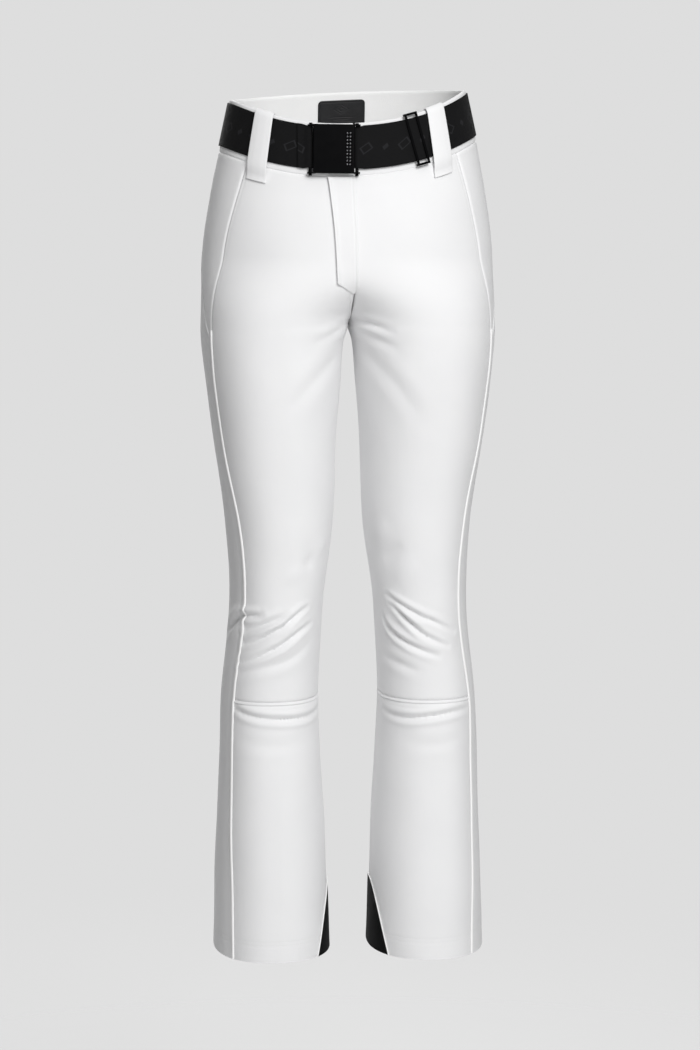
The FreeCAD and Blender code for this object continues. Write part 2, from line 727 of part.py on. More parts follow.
def zip_frame(side, top, bottom, angle_of):
    """Straight line of a zip chain, under the cloth between two levels of a seam."""
    depth = -size["zip_depth"]
    high = lifted(side, top, angle_of(top), depth)
    low = lifted(side, bottom, angle_of(bottom), depth)
    middle = (top + bottom) / 2
    normal = outward(side, middle, angle_of(middle))
    return frame_at(low, high - low, normal), (high - low).Length


def add_zip(name, side, top_cell, bottom_cell, angle_of):
    """Zip chain, slider and pull. Local Y runs up the chain, local Z out of the cloth."""
    frame, length = zip_frame(side, size[top_cell], size[bottom_cell], angle_of)
    parts = []
    edge = size["coil_gap"] / 2
    tape_low = -size["tape_thick"] / 2
    for number, across in enumerate((-1, 1)):
        tape = centred_box(f"{name}Tape{number}", "Sizes.tape_width", f"{length}mm", "Sizes.tape_thick",
                           tape_low, across * (edge + size["tape_width"] / 2), length / 2)
        coil = centred_box(f"{name}Coil{number}", "Sizes.coil_width", f"{length}mm", "Sizes.coil_thick",
                           -size["coil_thick"] / 2, across * (edge + size["coil_width"] / 2), length / 2)
        parts.append(fuse(f"{name}Half{number}", [tape, coil]))
    chain = doc.addObject("Part::Compound", f"{name}Chain")
    chain.Links = parts
    keep(f"{name}_chain", chain, frame)

    stop = size["zip_stop"]
    middle = length - stop - size["slider_long"] / 2
    gap = size["coil_thick"] / 2 + size["slider_play"]
    plate = size["slider_plate"]
    pin_height = gap + plate + 1.7
    upper = centred_box(f"{name}Upper", "Sizes.slider_wide", "Sizes.slider_long",
                        "Sizes.slider_plate", gap, 0, middle)
    lower = centred_box(f"{name}Lower", "Sizes.slider_wide", "Sizes.slider_long",
                        "Sizes.slider_plate", -gap - plate, 0, middle)
    web = centred_box(f"{name}Web", "Sizes.web_thick", "Sizes.slider_long",
                      "Sizes.coil_thick + 2 * Sizes.slider_play + Sizes.slider_plate",
                      -gap - plate / 2, 0, middle)
    slider_parts = [upper, lower, web]
    for number, across in enumerate((-1, 1)):
        slider_parts.append(centred_box(f"{name}Post{number}", "Sizes.post_wide", "Sizes.post_long",
                                        "Sizes.post_tall", gap + plate / 2,
                                        across * size["post_out"], middle))
    pin = bound("Part::Cylinder", f"{name}Pin", Radius="Sizes.pin_radius", Height="Sizes.pin_long")
    slider_parts.append(place(pin, -size["pin_long"] / 2, middle, pin_height,
                              Rotation(Vector(0, 1, 0), 90)))
    slider = fuse(f"{name}SliderBody", slider_parts)
    keep(f"{name}_slider", slider, frame)

    eye = bound("Part::Cylinder", f"{name}Eye", Radius="Sizes.pin_radius + 0.7", Height="3mm")
    place(eye, -1.5, middle, pin_height, Rotation(Vector(0, 1, 0), 90))
    low_z = pin_height - size["pull_thick"] / 2
    neck = centred_box(f"{name}Neck", "3mm", "6mm", "Sizes.pull_thick", low_z, 0, middle - 3)
    tab = centred_box(f"{name}Tab", "Sizes.pull_wide", "Sizes.pull_long - 5", "Sizes.pull_thick",
                      low_z, 0, middle - 5 - (size["pull_long"] - 5) / 2)
    blank = fuse(f"{name}PullBlank", [eye, neck, tab])
    bore = bound("Part::Cylinder", f"{name}Bore", Radius="Sizes.pin_radius + 0.05", Height="8mm")
    place(bore, -4, middle, pin_height, Rotation(Vector(0, 1, 0), 90))
    bored = cut(f"{name}PullBored", blank, bore)
    hole = bound("Part::Cylinder", f"{name}Hole", Radius="Sizes.pull_hole", Height="6mm")
    hole_y = middle - size["pull_long"] + 4
    place(hole, 0, hole_y, low_z - 2)
    pull = cut(f"{name}PullCut", bored, hole)
    keep(f"{name}_pull", pull, frame)
    pivot = frame.multVec(Vector(0, middle, pin_height))
    return {"axis": frame.Rotation.multVec(Vector(0, 1, 0)), "start": frame.multVec(Vector(0, middle, 0)),
            "travel": middle - stop - size["pull_long"], "pivot": pivot,
            "hinge": frame.Rotation.multVec(Vector(1, 0, 0)),
            "hole": frame.multVec(Vector(0, hole_y, pin_height)),
            "hole_axis": frame.Rotation.multVec(Vector(0, 0, 1))}


def add_hook_and_bar():
    """Waist closure behind the fly flap: a flat hook and the bar it catches."""
    level = -24
    normal = Vector(0, -1, 0)
    for name, x, tall in (("waist_hook", -7, 14), ("waist_hook_bar", 7, 12)):
        point = front_point(x, level) + Vector(0, 1, 0) * (size["cloth_thick"] + 2.2)
        frame = frame_at(point, Vector(0, 0, 1), normal)
        base = centred_box(f"{name}Base", "11mm", "1mm", "0.8mm", -0.4)
        base.setExpression("Width", f"{tall}mm")
        doc.recompute()
        base.Placement.Base.y = -tall / 2
        lip = centred_box(f"{name}Lip", "2mm", "8mm", "1.6mm", -1.8, -4.4 if x < 0 else -3.0)
        keep(name, fuse(f"{name}Solid", [base, lip]), frame)


# ---------------------------------------------------------------- build

def build():
    joints = {}
    for tag, side in SIDES.items():
        add_leg_panels(tag, side)
        add_piping(tag, side)
        add_pocket_bag(tag, side)
        add_gaiter(tag, side)
        add_scuff_guard(tag, side)
    add_waistband()
    add_facing()
    add_fly()
    add_loops()
    add_label()
    add_belt()
    frame = buckle_frame()
    add_buckle(frame)
    joints["buckle"] = frame
    joints["adjuster"] = add_adjuster()
    joints["fly_zip"] = add_zip("fly_zip", 1, "fly_zip_top", "fly_zip_bottom",
                                lambda level: angle_at(0, level))
    for tag, side in SIDES.items():
        joints[f"pocket_zip_{tag}"] = add_zip(f"pocket_zip_{tag}", side, "pocket_zip_top",
                                              "pocket_zip_bottom", hip_front_edge)
        joints[f"leg_zip_{tag}"] = add_zip(f"leg_zip_{tag}", side, "leg_zip_top",
                                           "leg_zip_bottom", leg_seam)
    add_hook_and_bar()
    return joints


def check_and_export():
    doc.recompute()
    failed = [item.Name for item in doc.Objects if {"Invalid", "Error"} & set(item.State)]
    for name, item in nodes.items():
        if item.Shape.isNull() or not item.Shape.isValid() or item.Shape.Volume <= 0:
            failed.append(name)
    if failed:
        raise RuntimeError("not valid: " + ", ".join(failed))
    os.makedirs("parts", exist_ok=True)
    for name, item in nodes.items():
        item.Shape.exportStep(f"parts/{name}.step")
        box = item.Shape.BoundBox
        print(f"{name:26s} solids {len(item.Shape.Solids):2d} volume {item.Shape.Volume:9.0f} "
              f"x {box.XMin:7.1f} {box.XMax:7.1f} y {box.YMin:7.1f} {box.YMax:7.1f} "
              f"z {box.ZMin:8.1f} {box.ZMax:8.1f}")


def report(joints):
    for name, data in joints.items():
        if isinstance(data, dict):
            for key, value in data.items():
                print(name, key, value)
        else:
            print(name, "base", data.Base, "x", data.Rotation.multVec(Vector(1, 0, 0)),
                  "y", data.Rotation.multVec(Vector(0, 1, 0)), "z", data.Rotation.multVec(Vector(0, 0, 1)))


joint_places = build()
check_and_export()
report(joint_places)
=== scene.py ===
# %% [markdown]
# # Softshell ski pants with a webbing belt
# The CAD model already holds every piece of these pants at its real size: cloth panels,
# belt, buckle, zips. Here the frame is loaded, and each soft piece gets the look of the
# real cloth around it. The lesson goes from the body form, to the panels and their folds,
# to the trims, the buckle, the finishes and the studio.

# %% Load the frame
import json
import math

import bmesh
import bpy
import numpy as np
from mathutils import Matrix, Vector

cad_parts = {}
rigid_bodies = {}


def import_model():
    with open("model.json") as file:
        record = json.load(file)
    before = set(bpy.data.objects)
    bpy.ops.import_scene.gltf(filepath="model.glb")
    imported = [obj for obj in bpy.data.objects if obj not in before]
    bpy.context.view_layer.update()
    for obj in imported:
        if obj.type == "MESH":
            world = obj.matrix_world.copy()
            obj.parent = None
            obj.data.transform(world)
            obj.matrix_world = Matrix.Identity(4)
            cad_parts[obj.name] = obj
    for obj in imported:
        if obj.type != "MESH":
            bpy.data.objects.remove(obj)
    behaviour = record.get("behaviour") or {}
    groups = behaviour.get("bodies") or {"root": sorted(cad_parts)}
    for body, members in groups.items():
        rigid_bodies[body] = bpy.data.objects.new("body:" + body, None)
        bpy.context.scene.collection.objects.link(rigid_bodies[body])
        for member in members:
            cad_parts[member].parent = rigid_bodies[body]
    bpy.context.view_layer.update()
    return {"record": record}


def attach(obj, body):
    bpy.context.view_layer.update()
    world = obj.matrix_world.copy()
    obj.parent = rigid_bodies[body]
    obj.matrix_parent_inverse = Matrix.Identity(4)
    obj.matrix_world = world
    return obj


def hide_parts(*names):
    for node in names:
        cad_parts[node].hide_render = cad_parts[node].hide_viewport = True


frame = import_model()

MM = 0.001
SIDES = {"L": 1, "R": -1}        # the wearer's left is +X

# %% [markdown]
# ## The pattern
# A tailor grades trousers from a table of stations down the leg. Each row here has a level
# below the waist edge, the outer half width, half the gap between the legs, the depth in
# front of and behind the side line, and how far out the outseam lies. It is the CAD
# pattern again, in millimetres, because the cloth must stay on the CAD panels.

# %% Pattern table
PATTERN = np.array((
    # level  outer   gap  front  back  seam
    (0,      140.0,  0.0,    90,   88, 0.90),
    (-60,    153.0,  0.0,    97,   99, 0.90),
    (-123,   165.0,  0.0,   104,  112, 0.90),
    (-187,   173.5,  0.0,   108,  120, 0.90),
    (-270,   176.0,  0.0,   110,  117, 0.88),
    (-292,   175.4,  6.0,   109,  114, 0.88),
    (-338,   170.5,  9.6,   106,  106, 0.89),
    (-411,   161.4, 15.7,    98,   94, 0.87),
    (-508,   147.5, 18.2,    88,   80, 0.79),
    (-606,   143.7, 30.9,    82,   66, 0.73),
    (-716,   153.4, 36.4,    80,   72, 0.79),
    (-803,   157.0, 33.5,    86,   88, 0.79),
    (-903,   161.0, 28.0,    93,   96, 0.77),
    (-1028,  165.0, 24.5,   100,  100, 0.71),
))
OUTER, GAP, FRONT, BACK, SEAM = range(1, 6)
BAND, FORK, CROTCH, KNEE_SEAM, HEM = -60, -187, -270, -716, -1028
HIP_END = CROTCH - 13
ROUNDNESS = 2.25
FRONT_DIP, BACK_RISE, LEAN = 34, 5, 6


def station(column, level):
    """Smooth value of a pattern column at any level."""
    z, value = PATTERN[:, 0], PATTERN[:, column]
    level = np.asarray(level, float)
    span = np.clip(np.searchsorted(-z, -level, side="left") - 1, 0, len(z) - 2)
    before, after = np.maximum(span - 1, 0), np.minimum(span + 2, len(z) - 1)
    step = z[span + 1] - z[span]
    slope_in = (value[span + 1] - value[before]) / (z[span + 1] - z[before])
    slope_out = (value[after] - value[span]) / (z[after] - z[span])
    share = np.clip((level - z[span]) / step, -0.2, 1.2)
    square, cube = share ** 2, share ** 3
    return ((2 * cube - 3 * square + 1) * value[span] + (cube - 2 * square + share) * step * slope_in
            + (3 * square - 2 * cube) * value[span + 1] + (cube - square) * step * slope_out)


print("thigh width at -338:", station(OUTER, -338) - station(GAP, -338))

# %% [markdown]
# ## The body form
# One formula gives the cloth's outer face: a rounded section that is one tube at the
# waist and divides, below the hips, into two legs. Angle 0 is the side of the hip, 90 the
# front, 180 the inside of the leg, and negative angles run round the back. Sculpting the
# tube by hand would work too, but then the panels would not share their seam lines.


# %% Form functions
def power(value):
    return np.sign(value) * np.abs(value) ** (2 / ROUNDNESS)


def inverse_power(value):
    value = np.clip(value, -1.0, 1.0)
    return np.sign(value) * np.abs(value) ** (ROUNDNESS / 2)


def smooth(share):
    share = np.clip(share, 0.0, 1.0)
    return share * share * (3 - 2 * share)


def divide(level):
    """0 where the body is one tube, 1 from the crotch down."""
    return smooth((FORK - np.asarray(level, float)) / (FORK - CROTCH))


def section(level):
    outer = station(OUTER, level)
    below = np.asarray(level, float) < CROTCH
    gap = np.where(below, np.maximum(station(GAP, level), 0.0), 0.0)
    share = divide(level)
    half = np.where(below, (outer - gap) / 2, outer / (1 + share))
    return outer - half, half


def form(side, level, angle):
    """Points of the outer cloth face, in millimetres, for arrays of levels and angles."""
    level, angle = np.broadcast_arrays(np.asarray(level, float), np.asarray(angle, float))
    centre, half = section(level)
    turn = np.radians(angle)
    depth = np.where(angle >= 0, station(FRONT, level), station(BACK, level))
    fade = smooth((level - FORK) / (BAND - FORK))
    tilt = np.where(angle >= 0, -FRONT_DIP, BACK_RISE)
    x = side * (centre + half * power(np.cos(turn)))
    rise = fade * (tilt * np.sin(turn) ** 2 + LEAN * x / PATTERN[0, OUTER])
    return np.stack([x, -depth * power(np.sin(turn)), level + rise], axis=-1)


def outward(side, level, angle):
    """Unit normals of the form."""
    along = form(side, level, angle + 0.4) - form(side, level, angle - 0.4)
    up = form(side, level + 0.6, angle) - form(side, level - 0.6, angle)
    normal = np.cross(up, along) * np.asarray(side, float)[..., None]
    return normal / np.linalg.norm(normal, axis=-1, keepdims=True)


def split_angle(level):
    return np.degrees(np.arccos(inverse_power(-divide(level))))


def angle_at(x, level):
    centre, half = section(level)
    return np.degrees(np.arccos(inverse_power((np.abs(x) - centre) / half)))


def leg_seam(level):
    return np.degrees(np.arccos(inverse_power(station(SEAM, level))))


def hip_line(level, top_angle, bend):
    share = np.clip((level - HIP_END) / (BAND - HIP_END), 0.0, 1.0)
    return leg_seam(level) * (1 - share ** bend) + top_angle * share ** bend


def hip_front_edge(level):
    return hip_line(level, 38, 1.5)


def hip_back_edge(level):
    return hip_line(level, -34, 0.8) - 1.0


def front_outer_edge(level):
    return np.where(level > HIP_END, hip_front_edge(level), leg_seam(level))


def back_outer_edge(level):
    return np.where(level > HIP_END, hip_back_edge(level), leg_seam(level))


print("crotch point:", form(1, CROTCH, 180.0))

# %% [markdown]
# ## Folds
# Worn cloth is never a clean tube. Each fold is a line on the leg with a width, a depth
# and a soft ridge on both sides. A cloth simulation would make folds of its own, but not
# these ones, so they are pressed in like strokes of a sculpting brush: a valley through
# some spots, each an angle round the leg and a level, and a ridge on both sides.


# %% Fold strokes
# side, width, depth of the valley, then (angle, level) spots along it
RIGHT_KNEE = (
    (-1, 4.2, 4.6, (50, -648), (76, -637), (93, -625), (107, -613), (122, -603)),
    (-1, 4.4, 4.2, (44, -671), (69, -662), (85, -654), (97, -644), (113, -633), (130, -623)),
    (-1, 5.0, 2.8, (50, -631), (79, -620), (96, -611)),
    (-1, 7.0, 1.7, (46, -684), (76, -675), (103, -665), (133, -644)),
    (-1, 4.6, 3.4, (38, -615), (52, -613), (70, -611)),
    (-1, 7.0, 4.4, (43, -615), (26, -624), (6, -640)),
    (-1, 17.0, 2.6, (114, -540), (126, -556)),
    (-1, 4.8, 3.8, (44, -727), (66, -733), (90, -736), (130, -737), (166, -731)),
    (-1, 9.0, 0.9, (48, -762), (90, -768), (130, -764)),
)
LEFT_KNEE = (
    (1, 4.2, 4.0, (138, -591), (119, -601), (93, -616), (58, -635)),
    (1, 4.2, 4.0, (135, -601), (122, -610), (105, -626), (90, -640), (68, -651)),
    (1, 4.5, 3.8, (149, -618), (140, -631), (122, -644), (100, -654), (82, -663)),
    (1, 7.0, 1.7, (151, -668), (125, -674), (102, -681)),
    (1, 19.0, 2.8, (138, -551), (110, -527)),
    (1, 4.8, 3.8, (158, -734), (114, -738), (84, -734), (48, -730)),
    (1, 9.0, 0.9, (120, -765), (90, -769), (56, -762)),
)
CROTCH_FOLDS = (
    (1, 5.0, 2.4, (160, -262), (138, -267), (118, -275)),
    (1, 6.5, 1.2, (158, -276), (136, -284), (116, -296)),
    (-1, 6.5, 1.2, (160, -268), (140, -276), (118, -288)),
    (-1, 12.0, 1.4, (158, -300), (122, -330), (98, -372)),
    (1, 12.0, 1.4, (158, -300), (122, -332), (98, -380)),
)
BACK_FOLDS = tuple(
    stroke
    for side in (1, -1)
    for stroke in (
        (side, 7.0, 2.6, (-150, -606 - 4 * side), (-110, -618), (-60, -612)),
        (side, 7.5, 2.8, (-140, -634), (-95, -645 + 3 * side), (-45, -634)),
        (side, 7.0, 2.0, (-120, -664 + 5 * side), (-85, -670), (-40, -658)),
        (side, 10.0, 2.2, (-140, -262), (-110, -286 + 3 * side), (-70, -290)),
        (side, 12.0, 1.8, (-145, -300), (-112, -322), (-78, -330)),
        (side, 12.0, 1.2, (-150, -760), (-100, -772), (-50, -764)),
    )
)
FOLDS = RIGHT_KNEE + LEFT_KNEE + CROTCH_FOLDS + BACK_FOLDS


STROKE_POINTS, STROKE_REACH = 32, 4          # the reach is counted in fold widths
RIDGE_ABOVE, RIDGE_BELOW, RIDGE_PLACE, RIDGE_WIDTH = 0.70, 0.55, 1.45, 0.85
VALLEY_WIDTH, VALLEY_POWER = 0.62, 1.5


def stroke_points(side, spots):
    """Evenly spread points of a fold line on the form."""
    spots = np.array(spots, float)
    knots, t = np.linspace(0, 1, len(spots)), np.linspace(0, 1, STROKE_POINTS)
    order = min(3, len(spots) - 1)
    angle, level = (np.polyval(np.polyfit(knots, spots[:, column], order), t) for column in (0, 1))
    return form(side, level, angle)


def pressed(points):
    """How far each point of the cloth moves out, in millimetres, for all the folds."""
    flat = points.reshape(-1, 3)
    move = np.zeros(len(flat))
    for side, width, depth, *spots in FOLDS:
        line = stroke_points(side, spots)
        reach = width * STROKE_REACH
        low, high = line.min(0) - reach, line.max(0) + reach
        near = np.where(np.all((flat > low) & (flat < high), axis=1))[0]
        if not len(near):
            continue
        away = flat[near, None, :] - line[None, :, :]
        distance = np.linalg.norm(away, axis=2)
        nearest = distance.argmin(1)
        u = distance[np.arange(len(near)), nearest] / width
        above = away[np.arange(len(near)), nearest, 2] >= 0
        t = nearest / (len(line) - 1)
        ends = np.sin(np.pi * np.clip(t * 0.92 + 0.04, 0, 1)) ** 0.8
        ridge = np.where(above, RIDGE_ABOVE, RIDGE_BELOW)
        ridge = ridge * np.exp(-((u - RIDGE_PLACE) / RIDGE_WIDTH) ** 2)
        valley = np.exp(-(u / VALLEY_WIDTH) ** VALLEY_POWER)
        move[near] += depth * ends * (ridge - valley)
    return move.reshape(points.shape[:-1])


def undulation(points):
    """Slow, shallow waves of relaxed cloth, in millimetres."""
    x, y, z = (points[..., axis] for axis in range(3))
    wave = 0.55 * np.sin(z / 61 + x / 47 + 1.3) * np.sin(x / 39 - y / 57 + 0.7)
    wave += 0.35 * np.sin(z / 33 - x / 71 + y / 43 + 2.1)
    wave += 0.20 * np.sin(z / 17 + x / 23 + 0.4) * np.sin(x / 31 + y / 19)
    return wave


def cloth_face(side, level, angle, lift=0.0):
    """Points on the finished outer face of the cloth, lifted off it. The band is calm."""
    level, angle = np.broadcast_arrays(np.asarray(level, float), np.asarray(angle, float))
    points = form(side, level, angle)
    calm = smooth((BAND - 3 - level) / 30)
    out = np.asarray(lift) + calm * (pressed(points) + undulation(points))
    return points + outward(side, level, angle) * out[..., None]


print("folds pressed into the cloth:", len(FOLDS))

# %% [markdown]
# ## From a grid of points to a piece of cloth
# A cloth piece is cut flat, then sewn to its neighbours. Its mesh is a grid between two
# seams, and Solidify gives it its thickness. The grid keeps the distance along the cloth
# as UVs in metres, so that a weave follows the cloth, and says what flat piece it was cut
# from. Plane primitives pushed about by hand would reach the same shape more slowly.


# %% Mesh tools
def select_only(piece):
    bpy.ops.object.select_all(action="DESELECT")
    bpy.context.view_layer.objects.active = piece
    piece.select_set(True)


def apply_modifier(piece, kind, **settings):
    modifier = piece.modifiers.new(kind.title(), kind)
    for key, value in settings.items():
        setattr(modifier, key, value)
    select_only(piece)
    bpy.ops.object.modifier_apply(modifier=modifier.name)


def shade(piece, degrees=50):
    select_only(piece)
    bpy.ops.object.shade_smooth_by_angle(angle=math.radians(degrees))


def normals_out(piece):
    """Make every face of a closed piece point outwards."""
    bm = bmesh.new()
    bm.from_mesh(piece.data)
    bmesh.ops.recalc_face_normals(bm, faces=bm.faces)
    bm.to_mesh(piece.data)
    bm.free()


def distance_along(points, axis=0):
    """Distance along a line or a grid of points, counted from its first point or row."""
    steps = np.linalg.norm(np.diff(points, axis=axis), axis=-1)
    return np.insert(np.cumsum(steps, axis=axis), 0, 0.0, axis=axis)


def arc_uv(points):
    """Distance along the cloth in both directions, in millimetres."""
    across, down = distance_along(points, 1), distance_along(points, 0)
    across -= across.mean(1, keepdims=True)
    middle = down[:, down.shape[1] // 2]
    return np.stack([across, np.broadcast_to(-middle[:, None], across.shape)], axis=-1)


def new_object(name, data):
    """New object in the scene, for a mesh, a camera or a light."""
    piece = bpy.data.objects.new(name, data)
    bpy.context.scene.collection.objects.link(piece)
    return piece


def mesh_piece(name, points, faces):
    """New object with a mesh made of points in millimetres and faces."""
    mesh = bpy.data.meshes.new(name)
    mesh.from_pydata((points.reshape(-1, 3) * MM).tolist(), [], faces)
    return new_object(name, mesh)


def hand_over(piece, replaced=()):
    """Tell the frame what a finished piece rides on and what it replaces."""
    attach(piece, "root")
    if replaced:
        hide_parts(*replaced)


# %% Cloth maker
FLAT_SIZES = {}


def cloth(name, points, thickness, replaced, offset=-1.0, outside=None,
          bevel=0.0):
    """Closed cloth piece over a grid of points, declared with the size it was cut to."""
    rows, columns = points.shape[:2]
    index = np.arange(rows * columns).reshape(rows, columns)
    quads = np.stack([index[:-1, :-1], index[1:, :-1], index[1:, 1:], index[:-1, 1:]], axis=-1)
    quads = quads.reshape(-1, 4)
    piece = mesh_piece(name, points, quads.tolist())
    uv = arc_uv(points)
    layer = piece.data.uv_layers.new(name="cloth")
    layer.data.foreach_set("uv", (uv.reshape(-1, 2)[quads.reshape(-1)] * MM).ravel())
    if outside is not None:
        row, column = points.shape[0] // 2, points.shape[1] // 2
        down = points[row + 1, column] - points[row, column]
        across = points[row, column + 1] - points[row, column]
        if np.dot(np.cross(down, across), outside[row, column]) < 0:
            piece.data.flip_normals()
    apply_modifier(piece, "SOLIDIFY", thickness=thickness * MM, offset=offset)
    if bevel:
        apply_modifier(piece, "BEVEL", width=bevel * MM, segments=2, limit_method="ANGLE",
                       angle_limit=math.radians(60))
    normals_out(piece)
    shade(piece)
    wide = float(np.ptp(uv[..., 0])) * MM
    long = float(np.ptp(uv[..., 1])) * MM
    hand_over(piece, replaced)
    FLAT_SIZES[name] = (round(wide, 3), round(long, 3))
    return piece


# %% [markdown]
# ## The leg and hip panels
# Each leg is a front thigh, a front lower leg that meets it in a knee seam, and one long
# back panel. A hip panel with a concealed pocket zip tapers down the side. The cloth
# rolls in at a sewn edge, and a felled seam shows a flat ridge and a groove beside it.
# The rows are closer together where there are folds to carry.

# %% Seam profiles
EDGE_STEPS = (0.0, 0.5, 1.1, 1.9, 3.0, 4.6)
FINE_ZONES = ((-225, -310, 2.4), (-575, -755, 1.8), (-995, -1028, 1.6))
COARSE_STEP, COLUMN_STEP = 4.2, 2.7
FELL, KNEE_FELL, POCKET_STITCH, RISE_STITCH = 6.3, 4.8, 4.5, 6.5
HEM_ROWS = (20.0, 24.5)


def bump_at(distance, place, width):
    return np.exp(-((distance - place) / width) ** 2)


def plain_seam(distance, level):
    return -1.3 * np.exp(-(distance / 1.3) ** 1.6)


def felled_seam(distance, level):
    return (plain_seam(distance, level) + 0.6 * bump_at(distance, FELL / 2, 2.0)
            - 0.8 * bump_at(distance, FELL, 0.9))


def knee_seam(distance, level):
    return (1.5 * plain_seam(distance, level) + 0.7 * bump_at(distance, KNEE_FELL / 2, 1.5)
            - 0.9 * bump_at(distance, KNEE_FELL, 0.8))


def pocket_seam(distance, level):
    shown = smooth((level + 232) / 10)
    return plain_seam(distance, level) - 0.45 * shown * bump_at(distance, POCKET_STITCH, 0.8)


def rise_seam(distance, level):
    shown = smooth((-228 - level) / 6) * smooth((level + 276) / 6)
    return (plain_seam(distance, level) + 0.5 * shown * bump_at(distance, RISE_STITCH / 2, 2.0)
            - 0.9 * shown * bump_at(distance, RISE_STITCH, 0.9))


def hem_fold(distance, level):
    return -0.45 * sum(bump_at(distance, row, 0.9) for row in HEM_ROWS)


def row_levels(top, bottom):
    """Row levels of a panel: close at both edges and in the fine zones."""
    levels = [top - step for step in EDGE_STEPS]
    while levels[-1] > bottom + EDGE_STEPS[-1] + COARSE_STEP * 0.6:
        steps = [step for high, low, step in FINE_ZONES if low < levels[-1] <= high]
        levels.append(levels[-1] - min(steps + [COARSE_STEP]))
    return np.array(levels + [bottom + step for step in EDGE_STEPS[::-1]])


def spread(length):
    """Places across a strip, from 0 to 1: close together at both edges, even between."""
    edge = np.array([e for e in EDGE_STEPS if e < length / 2 - 0.2])
    count = max(int(round((length - 2 * edge[-1]) / COLUMN_STEP)), 1)
    middle = np.linspace(edge[-1], length - edge[-1], count + 1)[1:-1]
    return np.concatenate([edge, middle, length - edge[::-1]]) / length


# %% Panel builder
GRIDS = {}        # name: outer face points and normals, for the stitching


def edge_distances(points):
    """How far each point of a grid lies from each of the four edges."""
    along, down = distance_along(points, 1), distance_along(points, 0)
    return {"start": along, "end": along[:, -1:] - along, "top": down, "bottom": down[-1:] - down}


def panel(node, side, top, bottom, start, end, seams):
    """A cloth panel between two levels and two edge lines given as angles at each level."""
    middle = (top + bottom) / 2
    across = form(side, np.full(60, middle), np.linspace(start(middle), end(middle), 60))
    share = spread(np.linalg.norm(np.diff(across, axis=0), axis=1).sum())
    rows = row_levels(top, bottom)
    level = np.repeat(rows[:, None], len(share), axis=1)
    first, last = start(rows)[:, None], end(rows)[:, None]
    angle = first + (last - first) * share[None, :]
    points, normal = cloth_face(side, level, angle), outward(side, level, angle)
    distances = edge_distances(points)
    roll = sum(profile(distances[edge], level) for edge, profile in seams.items())
    points = points + normal * roll[..., None]
    GRIDS[node] = (points, normal)
    return cloth("cloth_" + node, points, 1.7, [node],
                 outside=normal)


def constant(angle):
    return lambda level: np.full(np.shape(level), float(angle))


def back_split(level):
    return -split_angle(level)


# %% Cut and sew the panels
PLAIN = {"top": plain_seam, "start": plain_seam, "end": plain_seam}
for tag, side in SIDES.items():
    centre_seam = rise_seam if side < 0 else plain_seam
    layout = {
        "front_thigh": (BAND, KNEE_SEAM, front_outer_edge, split_angle,
                        PLAIN | {"start": pocket_seam, "end": centre_seam, "bottom": plain_seam}),
        "front_lower_leg": (KNEE_SEAM, HEM, leg_seam, constant(180),
                            PLAIN | {"top": knee_seam, "bottom": hem_fold}),
        "back_leg": (BAND, HEM, back_split, back_outer_edge,
                     PLAIN | {"end": felled_seam, "bottom": hem_fold}),
        "hip_side": (BAND, HIP_END, hip_back_edge, hip_front_edge, PLAIN),
    }
    for name, (top, bottom, start, end, seams) in layout.items():
        piece = panel(f"{name}_{tag}", side, top, bottom, start, end, seams)
        print(piece.name, len(piece.data.polygons), "faces")

# %% [markdown]
# ## Waistband and facing
# The waistband folds over at the top and is backed by a brushed facing. Its front is in
# two halves that meet behind the buckle, and its back is one piece. The fold is drawn as
# a profile of level and lift, and the profile is swept round the waist.


# %% Waist profiles
def smooth_path(knots, step):
    """Points about step apart on a smooth line through the given knots."""
    knots = np.array(knots, float)
    ahead = np.vstack([2 * knots[0] - knots[1], knots, 2 * knots[-1] - knots[-2]])
    pieces = []
    for index in range(len(knots) - 1):
        a, b, c, d = ahead[index:index + 4]
        count = max(int(round(np.linalg.norm(c - b) / step)), 1)
        t = (np.arange(count) / count)[:, None]
        pieces.append(0.5 * (2 * b + (c - a) * t + (2 * a - 5 * b + 4 * c - d) * t ** 2
                             + (3 * b - a - 3 * c + d) * t ** 3))
    return np.vstack(pieces + [knots[-1:]])


def side_of(x):
    """1 on the wearer's left and -1 on the right, for arrays of places."""
    return np.where(x >= 0, 1, -1)


def swept_waist(profile, places):
    """Grid of points and normals: a (level, lift) profile swept round the waist."""
    levels, lifts = np.array(profile, float).T
    level, place = np.meshgrid(levels, places, indexing="ij")
    side, angle = side_of(place), np.abs(place) - 90
    normals = outward(side, level, angle)
    return form(side, level, angle) + normals * lifts[:, None, None], normals


BAND_PROFILE = smooth_path([
    (0.1, -2.4), (0.9, -1.6), (0.7, -0.7), (-0.4, -0.1), (-4, 0.1), (-20, 0.0), (-45, 0.0), (-56, -0.1),
    (-59, -0.5), (-60, -1.4)], 0.9)
FACING_PROFILE = smooth_path([
    (0.2, -1.9), (0.3, -2.7), (-1.2, -3.2), (-10, -3.1), (-30, -3.1), (-54, -3.1)], 1.4)
for node, first, last in (("waistband_front_L", 90.3, 179.6), ("waistband_front_R", -179.6, -90.3),
                          ("waistband_back", -89.7, 89.7)):
    places = np.linspace(first, last, int(abs(last - first) * 1.1))
    points, normals = swept_waist(BAND_PROFILE, places)
    cloth("cloth_" + node, points, 1.4, [node], outside=normals)
places = np.linspace(-171, 171, 340)
points, normals = swept_waist(FACING_PROFILE, places)
cloth("cloth_waistband_facing", points, 0.7, ["waistband_facing"],
      outside=normals)
print("waistband girth at the rim, mm:", round(float(distance_along(points[3])[-1])))

# %% [markdown]
# ## The fly
# A flap of the same cloth covers the zip. It hangs from the waistband, its left edge is
# free, its right edge is stitched down beside the centre line, and it ends in a slanted
# point. A plain lining flap lies behind the zip.


